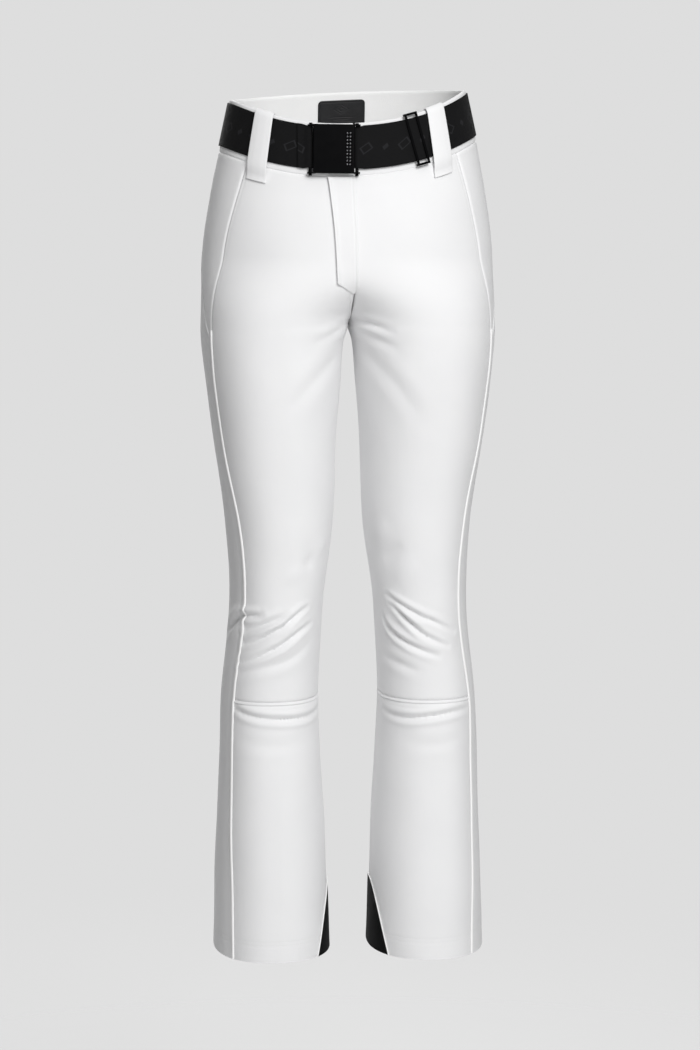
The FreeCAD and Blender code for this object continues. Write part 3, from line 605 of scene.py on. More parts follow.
# %% Fly flap and underlap
def front_face(x, level, lift):
    """Points on the front of the cloth, placed by their distance from the centre line."""
    x, level = np.broadcast_arrays(np.asarray(x, float), np.asarray(level, float))
    points = cloth_face(side_of(x), level, angle_at(x, level))
    points[..., 1] -= lift
    return points


def shares(rows, columns, first=0):
    """Grids of shares down a piece, from 0 to 1, and across it, from first to 1."""
    return np.meshgrid(np.linspace(0, 1, rows), np.linspace(first, 1, columns), indexing="ij")


FRONT_OUT = np.array([0.0, -1.0, 0.0])
FLAP_TOP, FLAP_LEFT, FLAP_RIGHT = -60.5, -32, 1.5
FLAP_END, POINT_PLACE, POINT_DROP, POINT_RISE = -218, 0.8, 14, 8
down, over = shares(96, 34)
flap_left = FLAP_LEFT + 11 * down ** 0.62           # the free edge curves in as it comes down
flap_x = flap_left + (FLAP_RIGHT + 3 * down - flap_left) * over
point_level = (FLAP_END - POINT_DROP * np.minimum(over / POINT_PLACE, 1)
               + POINT_RISE * np.maximum(over - POINT_PLACE, 0) / (1 - POINT_PLACE))
flap_level = FLAP_TOP + (point_level - FLAP_TOP) * down
edge_lift = 3.2 - 2.4 * smooth(over * 4) - 0.7 * smooth((over - 0.9) * 10)
edge_lift -= 0.6 * bump_at(over, 0.86, 0.03)        # the stitching draws in the fixed edge
points = front_face(flap_x, flap_level, edge_lift + 1.0)
GRIDS["fly_placket"] = (points, np.broadcast_to(FRONT_OUT, points.shape))
cloth("cloth_fly_placket", points, 1.4, ["fly_placket"],
      outside=GRIDS["fly_placket"][1], bevel=0.35)
down, over = shares(40, 12)
points = front_face(-20 + 44 * over, -62 - 170 * down, -22)
cloth("cloth_fly_underlap", points, 1.0, ["fly_underlap"],
      outside=np.broadcast_to(FRONT_OUT, points.shape))
print("fly flap:", FLAT_SIZES["cloth_fly_placket"], "m flat")

# %% [markdown]
# ## Belt loops
# A belt loop is a strip folded to 24 mm and stitched down its edges. The front ones are
# caught inside the waist edge and roll over the top, and the back ones start just below
# it. Each stands clear of the belt and is stitched down again under it. Its side view is
# drawn as one profile and swept across the width.

# %% Belt loops
LOOP_HALF, LOOP_STEPS = 12.0, 13
LOOP_SIDE = smooth_path([
    (-7, -4.4), (-2, -4.6), (1.4, -3.6), (2.7, -1.2), (2.5, 1.4), (0.6, 3.5), (-3, 4.9), (-12, 5.3),
    (-30, 5.4), (-48, 5.3), (-57, 5.1), (-62, 4.6), (-67, 3.4), (-71, 2.2), (-75, 1.7), (-79, 1.6)], 1.5)
LOOP_PLACES = {"belt_loop_front_L": 140, "belt_loop_front_R": -136, "belt_loop_back_L": 42,
               "belt_loop_back_R": -42, "belt_loop_centre_back": 0}
BACK_LOOP_SIDE = smooth_path([
    (-2.2, 1.2), (-3.2, 3.2), (-6, 4.9), (-12, 5.3), (-30, 5.4), (-46, 5.3), (-55, 5.0), (-60, 4.4),
    (-65, 3.2), (-69, 2.1), (-74, 1.7), (-78, 1.6)], 1.5)


def loop_grid(place, profile):
    """Grid of a belt loop, its edges rolled down and its middle a little crowned."""
    middle, _ = swept_waist([(-30, 0)], np.array([place - 1.0, place + 1.0]))
    per_degree = np.linalg.norm(middle[0, 1] - middle[0, 0]) / 2
    share = np.linspace(-1, 1, LOOP_STEPS)
    places = place + share * LOOP_HALF / per_degree
    points, normals = swept_waist(profile, places)
    crown = 0.5 * (1 - np.abs(share) ** 4) - 0.4 * bump_at(np.abs(share), 0.72, 0.07)
    return points + normals * crown[None, :, None], normals


for node, place in LOOP_PLACES.items():
    points, normals = loop_grid(place, LOOP_SIDE if "front" in node else BACK_LOOP_SIDE)
    GRIDS[node] = (points, normals)
    cloth("cloth_" + node, points, 1.3, [node],
          offset=0.0, bevel=0.3)
print("belt loops:", len(LOOP_PLACES), "each", FLAT_SIZES["cloth_belt_loop_front_L"], "m flat")

# %% [markdown]
# ## The belt
# One length of elastic webbing goes round the waist. At each end it wraps a buckle bar
# and doubles back over itself: a short fold by the hinge bar, a long return through the
# adjuster on the other side. The ribbon follows a path of distance from the centre line
# and lift off the waistband, and the long way round the back is a plain ring.

# %% Webbing
BELT_TOP, BELT_BOTTOM, BELT_LAYER, BAR_TRIM = -3.0, -53.0, 1.3, 1.2
BAR_FLAT, BAR_TAPER = 2.0, 7.0          # how far each side of a bar the belt stays, and grows, narrow
HINGE_BAR, CATCH_BAR, RING_START, RING_END = -51.0, 3.0, 12.0, -60.0
HINGE_END = smooth_path([
    (-65, 4.0), (-61, 4.0), (-57, 4.3), (-54, 5.2), (HINGE_BAR, 5.7), (-48.7, 4.9), (-48.0, 3.3),
    (-48.7, 1.8), (HINGE_BAR, 1.1), (-55, 1.2), (RING_END, BELT_LAYER)], 0.8)
CATCH_END = smooth_path([
    (RING_START, BELT_LAYER), (7, 1.2), (CATCH_BAR, 1.1), (0.7, 1.8), (0.05, 3.3), (0.7, 4.9),
    (CATCH_BAR, 5.7), (6, 5.2), (10, 4.3), (15, 4.0), (30, 4.0), (50, 4.0), (68, 4.0), (86, 4.0)], 0.9)


def belt_row(level):
    """Points of the belt's middle layer at one level, from end to end. The belt draws in
    a little at the bars."""
    front = []
    middle = (BELT_TOP + BELT_BOTTOM) / 2
    narrow = 2 * BAR_TRIM / (BELT_TOP - BELT_BOTTOM)
    for side, path, bar in ((-1, HINGE_END, HINGE_BAR), (1, CATCH_END, CATCH_BAR)):
        near = 1 - smooth((np.abs(path[:, 0] - bar) - BAR_FLAT) / BAR_TAPER)
        levels = middle + (level - middle) * (1 - narrow * near)
        angle = angle_at(path[:, 0], levels)
        front.append(form(side, levels, angle) + outward(side, levels, angle) * path[:, 1:])
    first, last = 90 + angle_at(RING_END, level), 90 + angle_at(RING_START, level)
    ring, _ = swept_waist([(level, BELT_LAYER)], np.linspace(-first, last, 190)[1:-1])
    return np.vstack([front[0], ring[0], front[1]])


points = np.array([belt_row(level) for level in np.linspace(BELT_TOP, BELT_BOTTOM, 19)])
cloth("belt_webbing", points, 1.5,
      ["belt_strap", "belt_strap_return", "belt_strap_fold"],
      offset=0.0, bevel=0.4)
print("webbing cut to", FLAT_SIZES["belt_webbing"], "m")

# %% [markdown]
# ## Trims on the legs
# A bright round piping runs down each outseam, in the groove between the panels. The
# inside of each hem carries a wedge of tough black cloth with a pale bound edge, and the
# hem itself is turned up inside.

# %% Piping
PIPING_WIDE, PIPING_HIGH, PIPING_SIDES = 2.1, 1.7, 12
PIPING_ROUND = 0.012          # once round the piping in its UVs, in metres


def tube(name, points, normals, wide, high, replaced=()):
    """Oval tube along a line of points, flat side down, closed at both ends."""
    tangent = np.gradient(points, axis=0)
    across = np.cross(tangent, normals)
    across /= np.linalg.norm(across, axis=1, keepdims=True)
    turn = np.linspace(0, 2 * np.pi, PIPING_SIDES, endpoint=False)
    ring = (points[:, None] + wide * np.cos(turn)[None, :, None] * across[:, None]
            + high * np.sin(turn)[None, :, None] * normals[:, None])
    count = len(points)
    index = np.arange(count * PIPING_SIDES).reshape(count, PIPING_SIDES)
    turned = np.roll(index, -1, axis=1)
    quads = np.stack([index[:-1], index[1:], turned[1:], turned[:-1]], axis=-1).reshape(-1, 4)
    caps = [index[0].tolist(), index[-1][::-1].tolist()]
    piece = mesh_piece(name, ring, quads.tolist() + caps)
    corner = np.array([loop.vertex_index for loop in piece.data.loops])
    round_it = (corner % PIPING_SIDES) / PIPING_SIDES * PIPING_ROUND
    along_it = (distance_along(points) * MM)[corner // PIPING_SIDES]
    layer = piece.data.uv_layers.new(name="cloth")
    layer.data.foreach_set("uv", np.stack([round_it, along_it], axis=-1).ravel())
    normals_out(piece)
    shade(piece, 60)
    hand_over(piece, replaced)


for tag, side in SIDES.items():
    levels = np.linspace(HIP_END + 8, HEM + 0.6, 420)
    angle = leg_seam(levels)
    points = cloth_face(side, levels, angle, -0.2)
    tube(f"piping_{tag}", points, outward(side, levels, angle), PIPING_WIDE, PIPING_HIGH,
         [f"outseam_piping_{tag}"])
print("piping down each outseam, mm:", round(float(levels[0] - levels[-1])))

# %% Scuff guards and turned-up hems
GUARD_TIP = -947
TURNUP_ROWS = np.array([0.3, 1.2, 3, 7, 12, 17, 21, 25, 26.5])


def turned(angle):
    """Angles past the inside of the leg carry on round the back as negative angles."""
    return np.where(angle > 180, angle - 360, angle)


def leg_normal(side, level, angle):
    return outward(side, level, np.clip(turned(angle), -179.5, 179.5))


def rim_of(grid):
    """One line along the left edge, the top and the right edge of a grid."""
    return np.vstack([grid[::-1, 0], grid[0, 1:-1], grid[:, -1]])


for tag, side in SIDES.items():
    down, over = shares(60, 61, first=-1)
    level = GUARD_TIP + (HEM + 0.4 - GUARD_TIP) * down
    angle = 180 + (3 + 43 * down ** 0.52) * over
    points, normal = cloth_face(side, level, turned(angle), 1.5), leg_normal(side, level, angle)
    GRIDS[f"scuff_guard_{tag}"] = (points, normal)
    cloth(f"cloth_scuff_guard_{tag}", points, 1.2, [f"scuff_guard_{tag}"],
          outside=normal,
          bevel=0.3)
    rim, rim_normal = rim_of(points), rim_of(normal)
    tube(f"guard_binding_{tag}", rim + rim_normal * -0.5, rim_normal, 0.8, 0.8)
    level, angle = np.meshgrid(HEM + TURNUP_ROWS, np.linspace(-180, 180, 241), indexing="ij")
    points, normal = cloth_face(side, level, angle, -1.9), leg_normal(side, level, angle)
    cloth(f"cloth_hem_turnup_{tag}", points, 1.1, [],
          outside=normal)
print("scuff guard cut:", FLAT_SIZES["cloth_scuff_guard_L"], "m")

# %% [markdown]
# ## Inside the pants
# A light gaiter, gathered by an elastic, closes over the ski boot inside each leg, and a
# pocket bag hangs behind each hip zip. They barely show, but they belong to the garment.

# %% Gaiters, elastics and pocket bags
GAITER_TOP, GAITER_BOTTOM, GAITER_IN = -820, -1000, -26.0
GATHER_START, GATHER_LONG, GATHERS, GATHER_DEEP = -860, 110, 44, 1.3
POCKET_TOP, POCKET_BOTTOM, POCKET_IN, POCKET_BACK = BAND - 12, -245, -21, 74
INSIDE = (
    # name            top                 rows  thick  slot             inset  held
    ("gaiter",         GAITER_TOP,         40,   0.5,   "gaiter_cloth",  0.0,   "gathered"),
    ("gaiter_elastic", GAITER_BOTTOM + 24, 9,    1.2,   "white_elastic", -0.8,  "stretched"),
)
for tag, side in SIDES.items():
    for node, top, rows, thick, slot, inset, held in INSIDE:
        rows, around = np.linspace(top, GAITER_BOTTOM, rows), np.linspace(-180, 180, 353)
        level, angle = np.meshgrid(rows, around, indexing="ij")
        gather = smooth((GATHER_START - level) / GATHER_LONG)
        ripple = gather * GATHER_DEEP * np.sin(np.radians(angle) * GATHERS) - GATHER_DEEP * gather
        normal = leg_normal(side, level, angle)
        points = form(side, level, np.clip(angle, -179.9, 179.9))
        points = points + normal * (GAITER_IN + inset + ripple)[..., None]
        cloth(f"cloth_{node}_{tag}", points, thick, [f"{node}_{tag}"],
              outside=normal)
    rows, share = np.linspace(POCKET_TOP, POCKET_BOTTOM, 30), np.linspace(0, 1, 16)
    level = np.repeat(rows[:, None], len(share), axis=1)
    first = hip_front_edge(rows)[:, None] + 2
    angle = first + (POCKET_BACK - first) * share[None, :]
    normal = outward(side, level, angle)
    slack = 1.5 * np.sin(np.pi * share)[None, :] * smooth((-90 - level) / 60)
    points = form(side, level, angle) + normal * (POCKET_IN - slack)[..., None]
    cloth(f"cloth_pocket_bag_{tag}", points, 1.4, [f"pocket_bag_{tag}"],
          outside=normal)
print("gaiter cut:", FLAT_SIZES["cloth_gaiter_L"], "m")

# %% [markdown]
# ## The inner label
# A patch of black leather with rounded top corners is stitched inside the back of the
# waistband. Its embossing is plain ornament: a sunk border, a lozenge and three bars,
# pressed into the surface as real relief.

# %% Leather label
LABEL_HALF, LABEL_TOP, LABEL_TALL, LABEL_CORNER, LABEL_IN = 29.0, -8.0, 31.0, 5.0, 4.9
BORDER_IN, LOZENGE_DOWN, LOZENGE_HALF, LOZENGE_TALL = 2.6, 11.0, 9.0, 5.5
BARS = ((20.5, 15.0), (23.2, 10.0), (25.6, 15.0))          # how far down, and half its length
down = (np.linspace(0, 1, 110) * LABEL_TALL)[:, None]
near_top = np.clip(LABEL_CORNER - down, 0, LABEL_CORNER)
half = LABEL_HALF - LABEL_CORNER + np.sqrt(LABEL_CORNER ** 2 - near_top ** 2)
x = half * np.linspace(-1, 1, 161)[None, :]
level = np.broadcast_to(LABEL_TOP - down, x.shape)
border = np.minimum(np.minimum(half - np.abs(x), down), LABEL_TALL - down)
relief = -0.35 * bump_at(border, BORDER_IN, 0.4)
lozenge = np.abs(x) / LOZENGE_HALF + np.abs(down - LOZENGE_DOWN) / LOZENGE_TALL
relief += -0.40 * (bump_at(lozenge, 1.0, 0.10) + bump_at(lozenge, 0.45, 0.12))
for bar_down, bar_half in BARS:
    relief -= 0.35 * smooth((bar_half - np.abs(x)) / 0.8) * bump_at(down, bar_down, 0.45)
relief -= 0.5 * np.exp(-(border / 0.6) ** 2)          # the outer edge is rolled down
side, angle = side_of(x), -angle_at(x, level)
normal = outward(side, level, angle)
points = form(side, level, angle) - normal * (LABEL_IN + relief)[..., None]
cloth("label_leather", points, 1.2, ["label_patch"],
      outside=-normal)
print("label relief, mm:", round(float(np.ptp(relief)), 2))

# %% [markdown]
# ## Stitching
# Every topstitched edge is a row of real thread, each stitch a slim bead of thread half
# sunk into the cloth. One stitch is modelled from a primitive, stretched and scaled in
# edit mode, and then repeated along each row, sitting on the cloth's own face.

# %% One stitch
STITCH_LONG, STITCH_RADIUS, STITCH_PITCH = 2.2, 0.26, 3.1
bpy.ops.object.select_all(action="DESELECT")
bpy.ops.mesh.primitive_ico_sphere_add(subdivisions=1, radius=STITCH_RADIUS * MM)
stitch = bpy.context.object
bpy.ops.object.mode_set(mode="EDIT")
bpy.ops.mesh.select_all(action="SELECT")
bpy.ops.transform.resize(value=(STITCH_LONG / 2 / STITCH_RADIUS, 1, 0.8))
bpy.ops.object.mode_set(mode="OBJECT")
STITCH_POINTS = np.array([vertex.co for vertex in stitch.data.vertices])
STITCH_FACES = np.array([face.vertices[:] for face in stitch.data.polygons])
bpy.data.objects.remove(stitch)
print("one stitch has", len(STITCH_FACES), "faces")


# %% Stitch rows
def at_distance(spots, along, values):
    """Values of a line, such as its points or normals, at given distances along it."""
    return np.stack([np.interp(spots, along, values[:, axis]) for axis in range(3)], axis=-1)


def unit(vectors):
    return vectors / np.linalg.norm(vectors, axis=1, keepdims=True)


def line_beside(node, edge, distance, top=0.0, bottom=-2000.0):
    """Line on a piece's face at a distance from one of its edges, between two levels."""
    points, normals = GRIDS[node]
    if edge in ("top", "bottom"):
        points, normals = points.transpose(1, 0, 2), normals.transpose(1, 0, 2)
    if edge in ("end", "bottom"):
        points, normals = points[:, ::-1], normals[:, ::-1]
    along = distance_along(points, 1)
    line = np.array([at_distance(distance, *row) for row in zip(along, points)])
    outs = np.array([at_distance(distance, *row) for row in zip(along, normals)])
    kept = (bottom <= line[:, 2]) & (line[:, 2] <= top)
    return line[kept], outs[kept]


def stitch_rows(name, rows):
    """One piece made of all the stitches along rows of (points, normals)."""
    places, frames = [], []
    for line, outs in rows:
        along = distance_along(line)
        spots = np.arange(STITCH_PITCH / 2, along[-1], STITCH_PITCH)
        places.append(at_distance(spots, along, line))
        forward = unit(at_distance(spots + 0.5, along, line) - at_distance(spots - 0.5, along, line))
        sideways = unit(np.cross(at_distance(spots, along, outs), forward))
        frames.append(np.stack([forward, sideways, np.cross(forward, sideways)], axis=1))
    centre = np.concatenate(places)
    points = np.einsum("vk,skj->svj", STITCH_POINTS / MM, np.concatenate(frames)) + centre[:, None]
    faces = STITCH_FACES[None] + np.arange(len(centre))[:, None, None] * len(STITCH_POINTS)
    piece = mesh_piece(name, points, faces.reshape(-1, 3).tolist())
    shade(piece, 80)
    hand_over(piece)


for tag in SIDES:
    rows = [line_beside(f"{node}_{tag}", "bottom", distance)
            for node in ("front_lower_leg", "back_leg") for distance in HEM_ROWS]
    rows.append(line_beside(f"front_lower_leg_{tag}", "top", KNEE_FELL))
    rows.append(line_beside(f"back_leg_{tag}", "end", FELL, top=HIP_END - 4))
    rows.append(line_beside(f"front_thigh_{tag}", "start", POCKET_STITCH, bottom=-228))
    stitch_rows(f"leg_stitches_{tag}", rows)
    guard = f"scuff_guard_{tag}"
    stitch_rows(f"guard_stitches_{tag}", [line_beside(guard, edge, 2.2) for edge in ("start", "end")])
rows = [line_beside("fly_placket", edge, 2.4) for edge in ("start", "end", "bottom")]
rows.append(line_beside("front_thigh_R", "end", RISE_STITCH, top=-233, bottom=-272))
for node in LOOP_PLACES:
    rows += [line_beside(node, edge, 3.3) for edge in ("start", "end")]
    rows += [line_beside(node, "bottom", distance) for distance in (2.0, 5.0)]
stitch_rows("waist_stitches", rows)

# %% [markdown]
# ## Finishes
# Each finish is a shader built from a few shared node groups: a knit or woven relief that
# follows the cloth's own UVs, a mottle that breaks up an even colour, and a grain. The
# groups give only heights and masks, and every constant sits on its own shader.


# %% Node groups
def new_group(name, output, **sizes):
    """Shader node group with a Place, sizes in metres with their defaults, and one output."""
    group = bpy.data.node_groups.new(name, "ShaderNodeTree")
    group.interface.new_socket("Place", in_out="INPUT", socket_type="NodeSocketVector")
    for socket, default in sizes.items():
        item = group.interface.new_socket(socket, in_out="INPUT", socket_type="NodeSocketFloat")
        item.default_value = default
    group.interface.new_socket(output, in_out="OUTPUT", socket_type="NodeSocketFloat")
    return group, group.nodes.new("NodeGroupInput"), group.nodes.new("NodeGroupOutput")


def add_math(tree, operation, *values):
    """Output of a new maths node, fed with numbers and other nodes' outputs."""
    node = tree.nodes.new("ShaderNodeMath")
    node.operation = operation
    for socket, value in zip(node.inputs, values):
        if isinstance(value, (int, float)):
            socket.default_value = value
        else:
            tree.links.new(value, socket)
    return node.outputs[0]


def weave_group():
    """Threads crossing over and under: Height, from Place in metres and the two pitches."""
    group, start, end = new_group("thread_weave", "Height", Across=0.001, Along=0.001)
    split = group.nodes.new("ShaderNodeSeparateXYZ")
    group.links.new(start.outputs["Place"], split.inputs[0])
    waves = []
    for axis, pitch in (("X", "Across"), ("Y", "Along")):
        turns = add_math(group, "DIVIDE", split.outputs[axis], start.outputs[pitch])
        waves.append(add_math(group, "SINE", add_math(group, "MULTIPLY", turns, math.tau)))
    crossed = add_math(group, "MULTIPLY", waves[0], waves[1])
    group.links.new(add_math(group, "MULTIPLY_ADD", crossed, 0.5, 0.5), end.inputs["Height"])
    return group


def mottle_group():
    """Soft uneven mask from 0 to 1, from Place and the Size of the patches in metres."""
    group, start, end = new_group("soft_mottle", "Mask", Size=0.03)
    noise = group.nodes.new("ShaderNodeTexNoise")
    noise.inputs["Detail"].default_value = 4
    group.links.new(start.outputs["Place"], noise.inputs["Vector"])
    group.links.new(add_math(group, "DIVIDE", 1.0, start.outputs["Size"]), noise.inputs["Scale"])
    group.links.new(noise.outputs["Fac"], end.inputs["Mask"])
    return group


def rib_group():
    """Fine ribs along one direction: Height, from Place and Pitch in metres."""
    group, start, end = new_group("fine_ribs", "Height", Pitch=0.0015)
    split = group.nodes.new("ShaderNodeSeparateXYZ")
    group.links.new(start.outputs["Place"], split.inputs[0])
    turns = add_math(group, "DIVIDE", split.outputs["Y"], start.outputs["Pitch"])
    wave = add_math(group, "SINE", add_math(group, "MULTIPLY", turns, math.pi))
    group.links.new(add_math(group, "ABSOLUTE", wave), end.inputs["Height"])
    return group


WEAVE, MOTTLE, RIBS = weave_group(), mottle_group(), rib_group()
print("node groups:", WEAVE.name, MOTTLE.name, RIBS.name)


# %% Material builder
FINISH = {}          # every finish by its name, most of them named after their slot


def use_group(tree, group, place, values):
    """Output of a group whose Place is linked and whose other inputs are numbers."""
    node = tree.nodes.new("ShaderNodeGroup")
    node.node_tree = group
    tree.links.new(place, node.inputs["Place"])
    for socket, value in zip(node.inputs[1:], values):
        socket.default_value = value
    return node.outputs[0]


def mix_colour(tree, mask, dark, light):
    node = tree.nodes.new("ShaderNodeMix")
    node.data_type = "RGBA"
    for index, value in ((6, dark), (7, light)):
        if isinstance(value, tuple):
            node.inputs[index].default_value = (*value, 1)
        else:
            tree.links.new(value, node.inputs[index])
    tree.links.new(mask, node.inputs[0])
    return node.outputs[2]


def material(name, shader, dark, light, patch=0.03, reliefs=(), rough=None, on_cloth=True):
    """Principled finish: two close colours in a soft mottle, a roughness that follows it as
    (base, range), and reliefs of (group, values, height in metres), one Bump after another."""
    finish = bpy.data.materials.new(name)
    finish.use_nodes = True
    tree = finish.node_tree
    principled = tree.nodes["Principled BSDF"]
    for key, value in shader.items():
        principled.inputs[key].default_value = value
    place_node = tree.nodes.new("ShaderNodeTexCoord")
    place = place_node.outputs["UV" if on_cloth else "Object"]
    mask = use_group(tree, MOTTLE, place_node.outputs["Object"], [patch])
    tree.links.new(mix_colour(tree, mask, dark, light), principled.inputs["Base Color"])
    if rough:
        base, reach = rough
        tree.links.new(add_math(tree, "MULTIPLY_ADD", mask, reach, base), principled.inputs["Roughness"])
    normal = None
    for group, values, height in reliefs:
        bump = tree.nodes.new("ShaderNodeBump")
        bump.inputs["Distance"].default_value = height
        bump.inputs["Strength"].default_value = 1.0
        tree.links.new(use_group(tree, group, place, values), bump.inputs["Height"])
        if normal:
            tree.links.new(normal, bump.inputs["Normal"])
        normal = bump.outputs["Normal"]
    if normal:
        tree.links.new(normal, principled.inputs["Normal"])
    FINISH[name] = finish
    return finish


# %% The finishes
material(
    "white_softshell", {"Sheen Weight": 0.12, "Sheen Roughness": 0.5, "Specular IOR Level": 0.3},
    (0.86, 0.86, 0.868), (0.90, 0.90, 0.903), 0.05,
    [(WEAVE, (0.0011, 0.0008), 0.00009), (MOTTLE, [0.0016], 0.00012)], (0.56, 0.14))
material(
    "white_lining", {"Sheen Weight": 0.3, "Specular IOR Level": 0.2},
    (0.93, 0.93, 0.925), (0.97, 0.97, 0.965), 0.02,
    [(MOTTLE, [0.0012], 0.00035)], (0.8, 0.15))
material(
    "white_piping", {"Coat Weight": 0.15, "Coat Roughness": 0.35},
    (0.93, 0.93, 0.925), (0.97, 0.97, 0.965), 0.02,
    [(WEAVE, (0.0012, 0.0012), 0.00008)], (0.34, 0.12))
material(
    "white_thread", {"Sheen Weight": 0.2}, (0.86, 0.86, 0.86), (0.93, 0.93, 0.93), 0.01,
    [(MOTTLE, [0.0004], 0.00005)], (0.45, 0.2), on_cloth=False)
material(
    "black_thread", {"Sheen Weight": 0.2}, (0.012, 0.012, 0.013), (0.03, 0.03, 0.032), 0.01,
    [(MOTTLE, [0.0004], 0.00005)], (0.45, 0.2), on_cloth=False)
material(
    "black_leather", {"Specular IOR Level": 0.25}, (0.011, 0.011, 0.012), (0.024, 0.024, 0.025),
    0.012, [(MOTTLE, [0.0018], 0.00025), (MOTTLE, [0.0006], 0.00010)], (0.42, 0.22))
material(
    "black_scuff_cloth", {"Specular IOR Level": 0.06},
    (0.003, 0.003, 0.0033), (0.006, 0.006, 0.0066), 0.02,
    [(WEAVE, (0.0016, 0.0016), 0.00025)], (0.5, 0.2))
material(
    "white_elastic", {"Sheen Weight": 0.2}, (0.80, 0.80, 0.80), (0.88, 0.88, 0.88), 0.02,
    [(RIBS, [0.0018], 0.0004), (WEAVE, (0.001, 0.0009), 0.0001)], (0.6, 0.2))
material(
    "gaiter_cloth", {"Coat Weight": 0.1, "Coat Roughness": 0.4},
    (0.72, 0.73, 0.74), (0.80, 0.80, 0.81), 0.03,
    [(RIBS, [0.005], 0.00015), (WEAVE, (0.0008, 0.0008), 0.00006)], (0.4, 0.15))
material(
    "zip_tape_white", {"Sheen Weight": 0.2}, (0.82, 0.82, 0.82), (0.90, 0.90, 0.90), 0.01,
    [(WEAVE, (0.0009, 0.0012), 0.00015)], (0.55, 0.2), on_cloth=False)
material(
    "black_gloss_metal", {"Specular IOR Level": 0.03},
    (0.0022, 0.0022, 0.0025), (0.004, 0.004, 0.0044), 0.02,
    [(MOTTLE, [0.004], 0.00001)], (0.16, 0.10), on_cloth=False)
material(
    "bright_studs", {"Metallic": 1.0}, (0.16, 0.16, 0.17), (0.34, 0.34, 0.35), 0.002,
    [(MOTTLE, [0.001], 0.00002)], (0.22, 0.12), on_cloth=False)
material(
    "plated_steel", {"Metallic": 1.0}, (0.52, 0.52, 0.54), (0.68, 0.68, 0.69), 0.004,
    [(WEAVE, (0.0003, 0.006), 0.00002)], (0.24, 0.2), on_cloth=False)
material(
    "zip_metal", {"Metallic": 0.9}, (0.68, 0.68, 0.69), (0.80, 0.80, 0.81), 0.003,
    [(MOTTLE, [0.0008], 0.00003)], (0.28, 0.2), on_cloth=False)

# %% [markdown]
# ## The webbing's woven pattern
# The belt is ribbed along its length, and a band of lozenges and short bars is woven into
# it in yarn a little greyer than the ground. The pattern repeats along the belt's own
# UVs, so it follows the belt round its folds.

# %% Webbing finish
MOTIF_PITCH, MOTIF_HALF, MOTIF_TALL, MOTIF_DOWN = 0.046, 0.0085, 0.0075, 0.027
WEBBING = material(
    "black_elastic_webbing", {"Sheen Weight": 0.03, "Sheen Roughness": 0.4, "Specular IOR Level": 0.12},
    (0.0045, 0.0045, 0.005), (0.0085, 0.0085, 0.009), 0.01,
    [(RIBS, [0.0014], 0.00030), (WEAVE, (0.0010, 0.0014), 0.00012)], (0.62, 0.2))
tree = WEBBING.node_tree
split = tree.nodes.new("ShaderNodeSeparateXYZ")
tree.links.new(tree.nodes.new("ShaderNodeTexCoord").outputs["UV"], split.inputs[0])


def ring_mask(place, half, tall, inner):
    """Mask of a repeated lozenge, hollow inside the inner share of it."""
    turn = add_math(tree, "FRACT", add_math(tree, "DIVIDE", place, MOTIF_PITCH))
    away = add_math(tree, "ABSOLUTE", add_math(tree, "SUBTRACT", turn, 0.5))
    wide = add_math(tree, "MULTIPLY", away, MOTIF_PITCH / half)
    over_middle = add_math(tree, "ADD", split.outputs["Y"], MOTIF_DOWN)
    high = add_math(tree, "ABSOLUTE", add_math(tree, "DIVIDE", over_middle, tall))
    size = add_math(tree, "ADD", wide, high)
    return add_math(tree, "MULTIPLY", add_math(tree, "LESS_THAN", size, 1.0),
                    add_math(tree, "GREATER_THAN", size, inner))


outline = ring_mask(split.outputs["X"], MOTIF_HALF, MOTIF_TALL, 0.72)
shifted = add_math(tree, "ADD", split.outputs["X"], MOTIF_PITCH / 2)
core = ring_mask(shifted, MOTIF_HALF * 0.45, MOTIF_TALL * 0.55, -1.0)
motif = add_math(tree, "MAXIMUM", outline, core)
ground = tree.nodes["Principled BSDF"].inputs["Base Color"].links[0].from_socket
tree.links.new(mix_colour(tree, motif, ground, (0.019, 0.019, 0.021)),
               tree.nodes["Principled BSDF"].inputs["Base Color"])
print("woven motif every", MOTIF_PITCH * 1000, "mm")

# %% Give every piece its finish
FINISH["hook_steel"] = FINISH["plated_steel"]
OWN_SLOTS = {"belt_webbing": "black_elastic_webbing", "label_leather": "black_leather"}
SLOT_OF = {part["node"]: part["material_slot"] for part in frame["record"]["subparts"]}


def dress(piece, finish):
    piece.data.materials.clear()
    piece.data.materials.append(finish)


for piece in list(bpy.data.objects):
    if piece.type != "MESH":
        continue
    if piece.name in SLOT_OF:
        for slot in piece.material_slots:
            slot.material = FINISH[SLOT_OF[piece.name]]
    elif "stitches" in piece.name:
        dress(piece, FINISH["black_thread" if piece.name.startswith("guard") else "white_thread"])
    elif piece.name.startswith(("piping", "guard_binding")):
        dress(piece, FINISH["white_piping"])
for name in FLAT_SIZES:
    slot = OWN_SLOTS.get(name) or SLOT_OF.get(name.removeprefix("cloth_"), "white_softshell")
    dress(bpy.data.objects[name], FINISH[slot])
print("finishes:", len(FINISH), "sheet pieces:", len(FLAT_SIZES))

# %% [markdown]
# ## Studio
# A plain pale floor fades out into an even pale studio, and the camera looks a little
# down from the front. One large soft light stands high in front and a little to the
# wearer's left, and a weaker one behind lights the back. The room fills the rest, but it
# is dim towards both sides, as if dark cards stood there, so the side panels fall into
# shade and the legs look round.

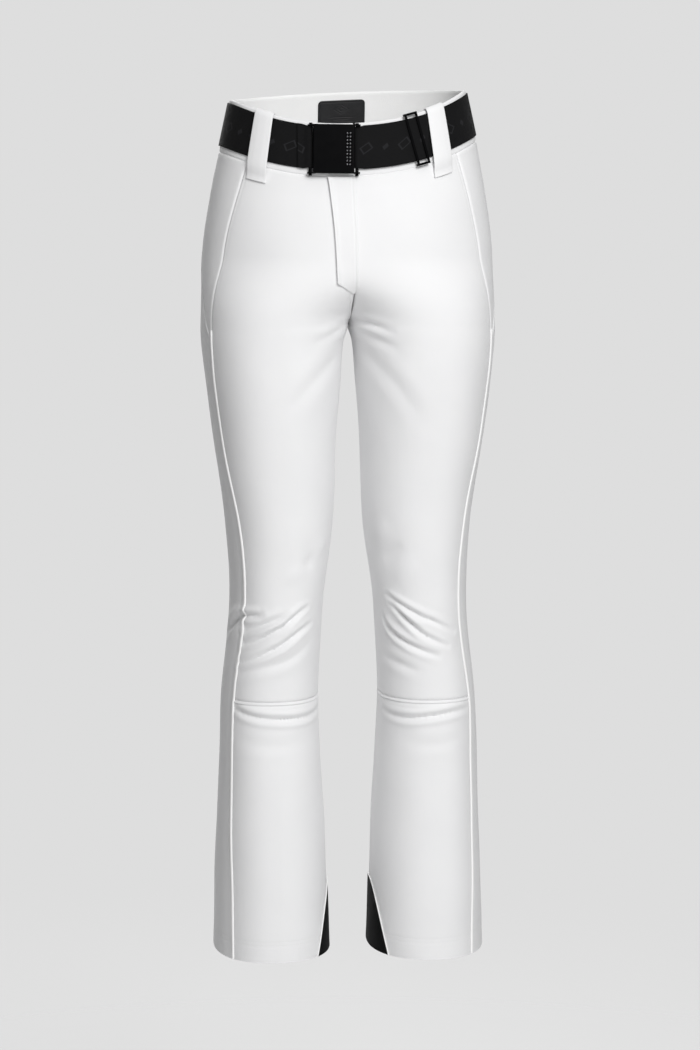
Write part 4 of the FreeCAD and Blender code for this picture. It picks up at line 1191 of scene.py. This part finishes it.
# %% Camera
DISTANCE, PITCH, AZIMUTH = 3.6, math.radians(7.0), math.radians(-5.0)
FILM_WIDE, FOCAL_RATIO, SIDE_SHIFT, EYE_LEVEL = 36, 20 / 7, 0.003, -0.072
camera_data = bpy.data.cameras.new("camera")
camera_data.sensor_width = FILM_WIDE
camera_data.lens = FILM_WIDE * FOCAL_RATIO
camera = new_object("camera", camera_data)
camera.location = (math.sin(AZIMUTH) * DISTANCE + SIDE_SHIFT, -math.cos(AZIMUTH) * DISTANCE, EYE_LEVEL)
camera.rotation_euler = (math.pi / 2 - PITCH, 0, AZIMUTH)
bpy.context.scene.camera = camera

# %% Room and lights
def soft_step(tree, value, start, end, first, last):
    """Output that goes smoothly from first to last while the value goes from start to end."""
    node = tree.nodes.new("ShaderNodeMapRange")
    node.interpolation_type = "SMOOTHSTEP"
    for key, number in (("From Min", start), ("From Max", end), ("To Min", first), ("To Max", last)):
        node.inputs[key].default_value = number
    tree.links.new(value, node.inputs["Value"])
    return node.outputs[0]


ROOM_SEEN, ROOM_FILL, SIDE_FILL = 0.73, 0.56, 0.0
DIM_FROM, DIM_TO, AIM = 0.45, 0.98, (0, 0, -0.5)
world = bpy.data.worlds.new("studio")
world.use_nodes = True
tree = world.node_tree
background = tree.nodes["Background"]
background.inputs["Color"].default_value = (1, 1, 1, 1)
direction = tree.nodes.new("ShaderNodeSeparateXYZ")
tree.links.new(tree.nodes.new("ShaderNodeTexCoord").outputs["Generated"], direction.inputs[0])
sideways = add_math(tree, "ABSOLUTE", direction.outputs["X"])
fill = soft_step(tree, sideways, DIM_FROM, DIM_TO, ROOM_FILL, SIDE_FILL)
seen = tree.nodes.new("ShaderNodeMix")
tree.links.new(tree.nodes.new("ShaderNodeLightPath").outputs["Is Camera Ray"], seen.inputs[0])
tree.links.new(fill, seen.inputs[2])
seen.inputs[3].default_value = ROOM_SEEN
tree.links.new(seen.outputs[0], background.inputs["Strength"])
bpy.context.scene.world = world
bpy.context.scene.view_settings.view_transform = "Standard"


def area_light(name, place, size, power):
    """Round soft light aimed at the middle of the pants."""
    light = bpy.data.lights.new(name, "AREA")
    light.shape, light.size, light.energy = "DISK", size, power
    lamp = new_object(name, light)
    lamp.location = place
    lamp.rotation_euler = (Vector(AIM) - Vector(place)).to_track_quat("-Z", "Y").to_euler()


area_light("key", (0.8, -2.95, 1.3), 1.5, 76)
area_light("back", (-0.5, 3.2, 1.2), 1.8, 58)

# %% Floor
FLOOR_LEVEL, FLOOR_RADIUS, FADE_FROM, FADE_TO, FLOOR_SOLID = -1.55, 2.6, 1.6, 2.9, 0.5
bpy.ops.object.select_all(action="DESELECT")
bpy.ops.mesh.primitive_circle_add(vertices=96, radius=FLOOR_RADIUS, fill_type="NGON",
                                  location=(0, 0, FLOOR_LEVEL))
floor = bpy.context.object
floor.name = "floor"
bpy.ops.object.transform_apply(location=True)
finish = material("pale_floor", {"Roughness": 0.9, "Specular IOR Level": 0.1}, (0.86, 0.86, 0.86),
                  (0.88, 0.88, 0.88), 0.5, [(MOTTLE, [0.02], 0.0002)], on_cloth=False)
tree = finish.node_tree
length = tree.nodes.new("ShaderNodeVectorMath")
length.operation = "LENGTH"
tree.links.new(tree.nodes.new("ShaderNodeTexCoord").outputs["Object"], length.inputs[0])
fade = soft_step(tree, length.outputs["Value"], FADE_FROM, FADE_TO, FLOOR_SOLID, 0.0)
tree.links.new(fade, tree.nodes["Principled BSDF"].inputs["Alpha"])
dress(floor, finish)
print("flat sizes, m:", FLAT_SIZES)
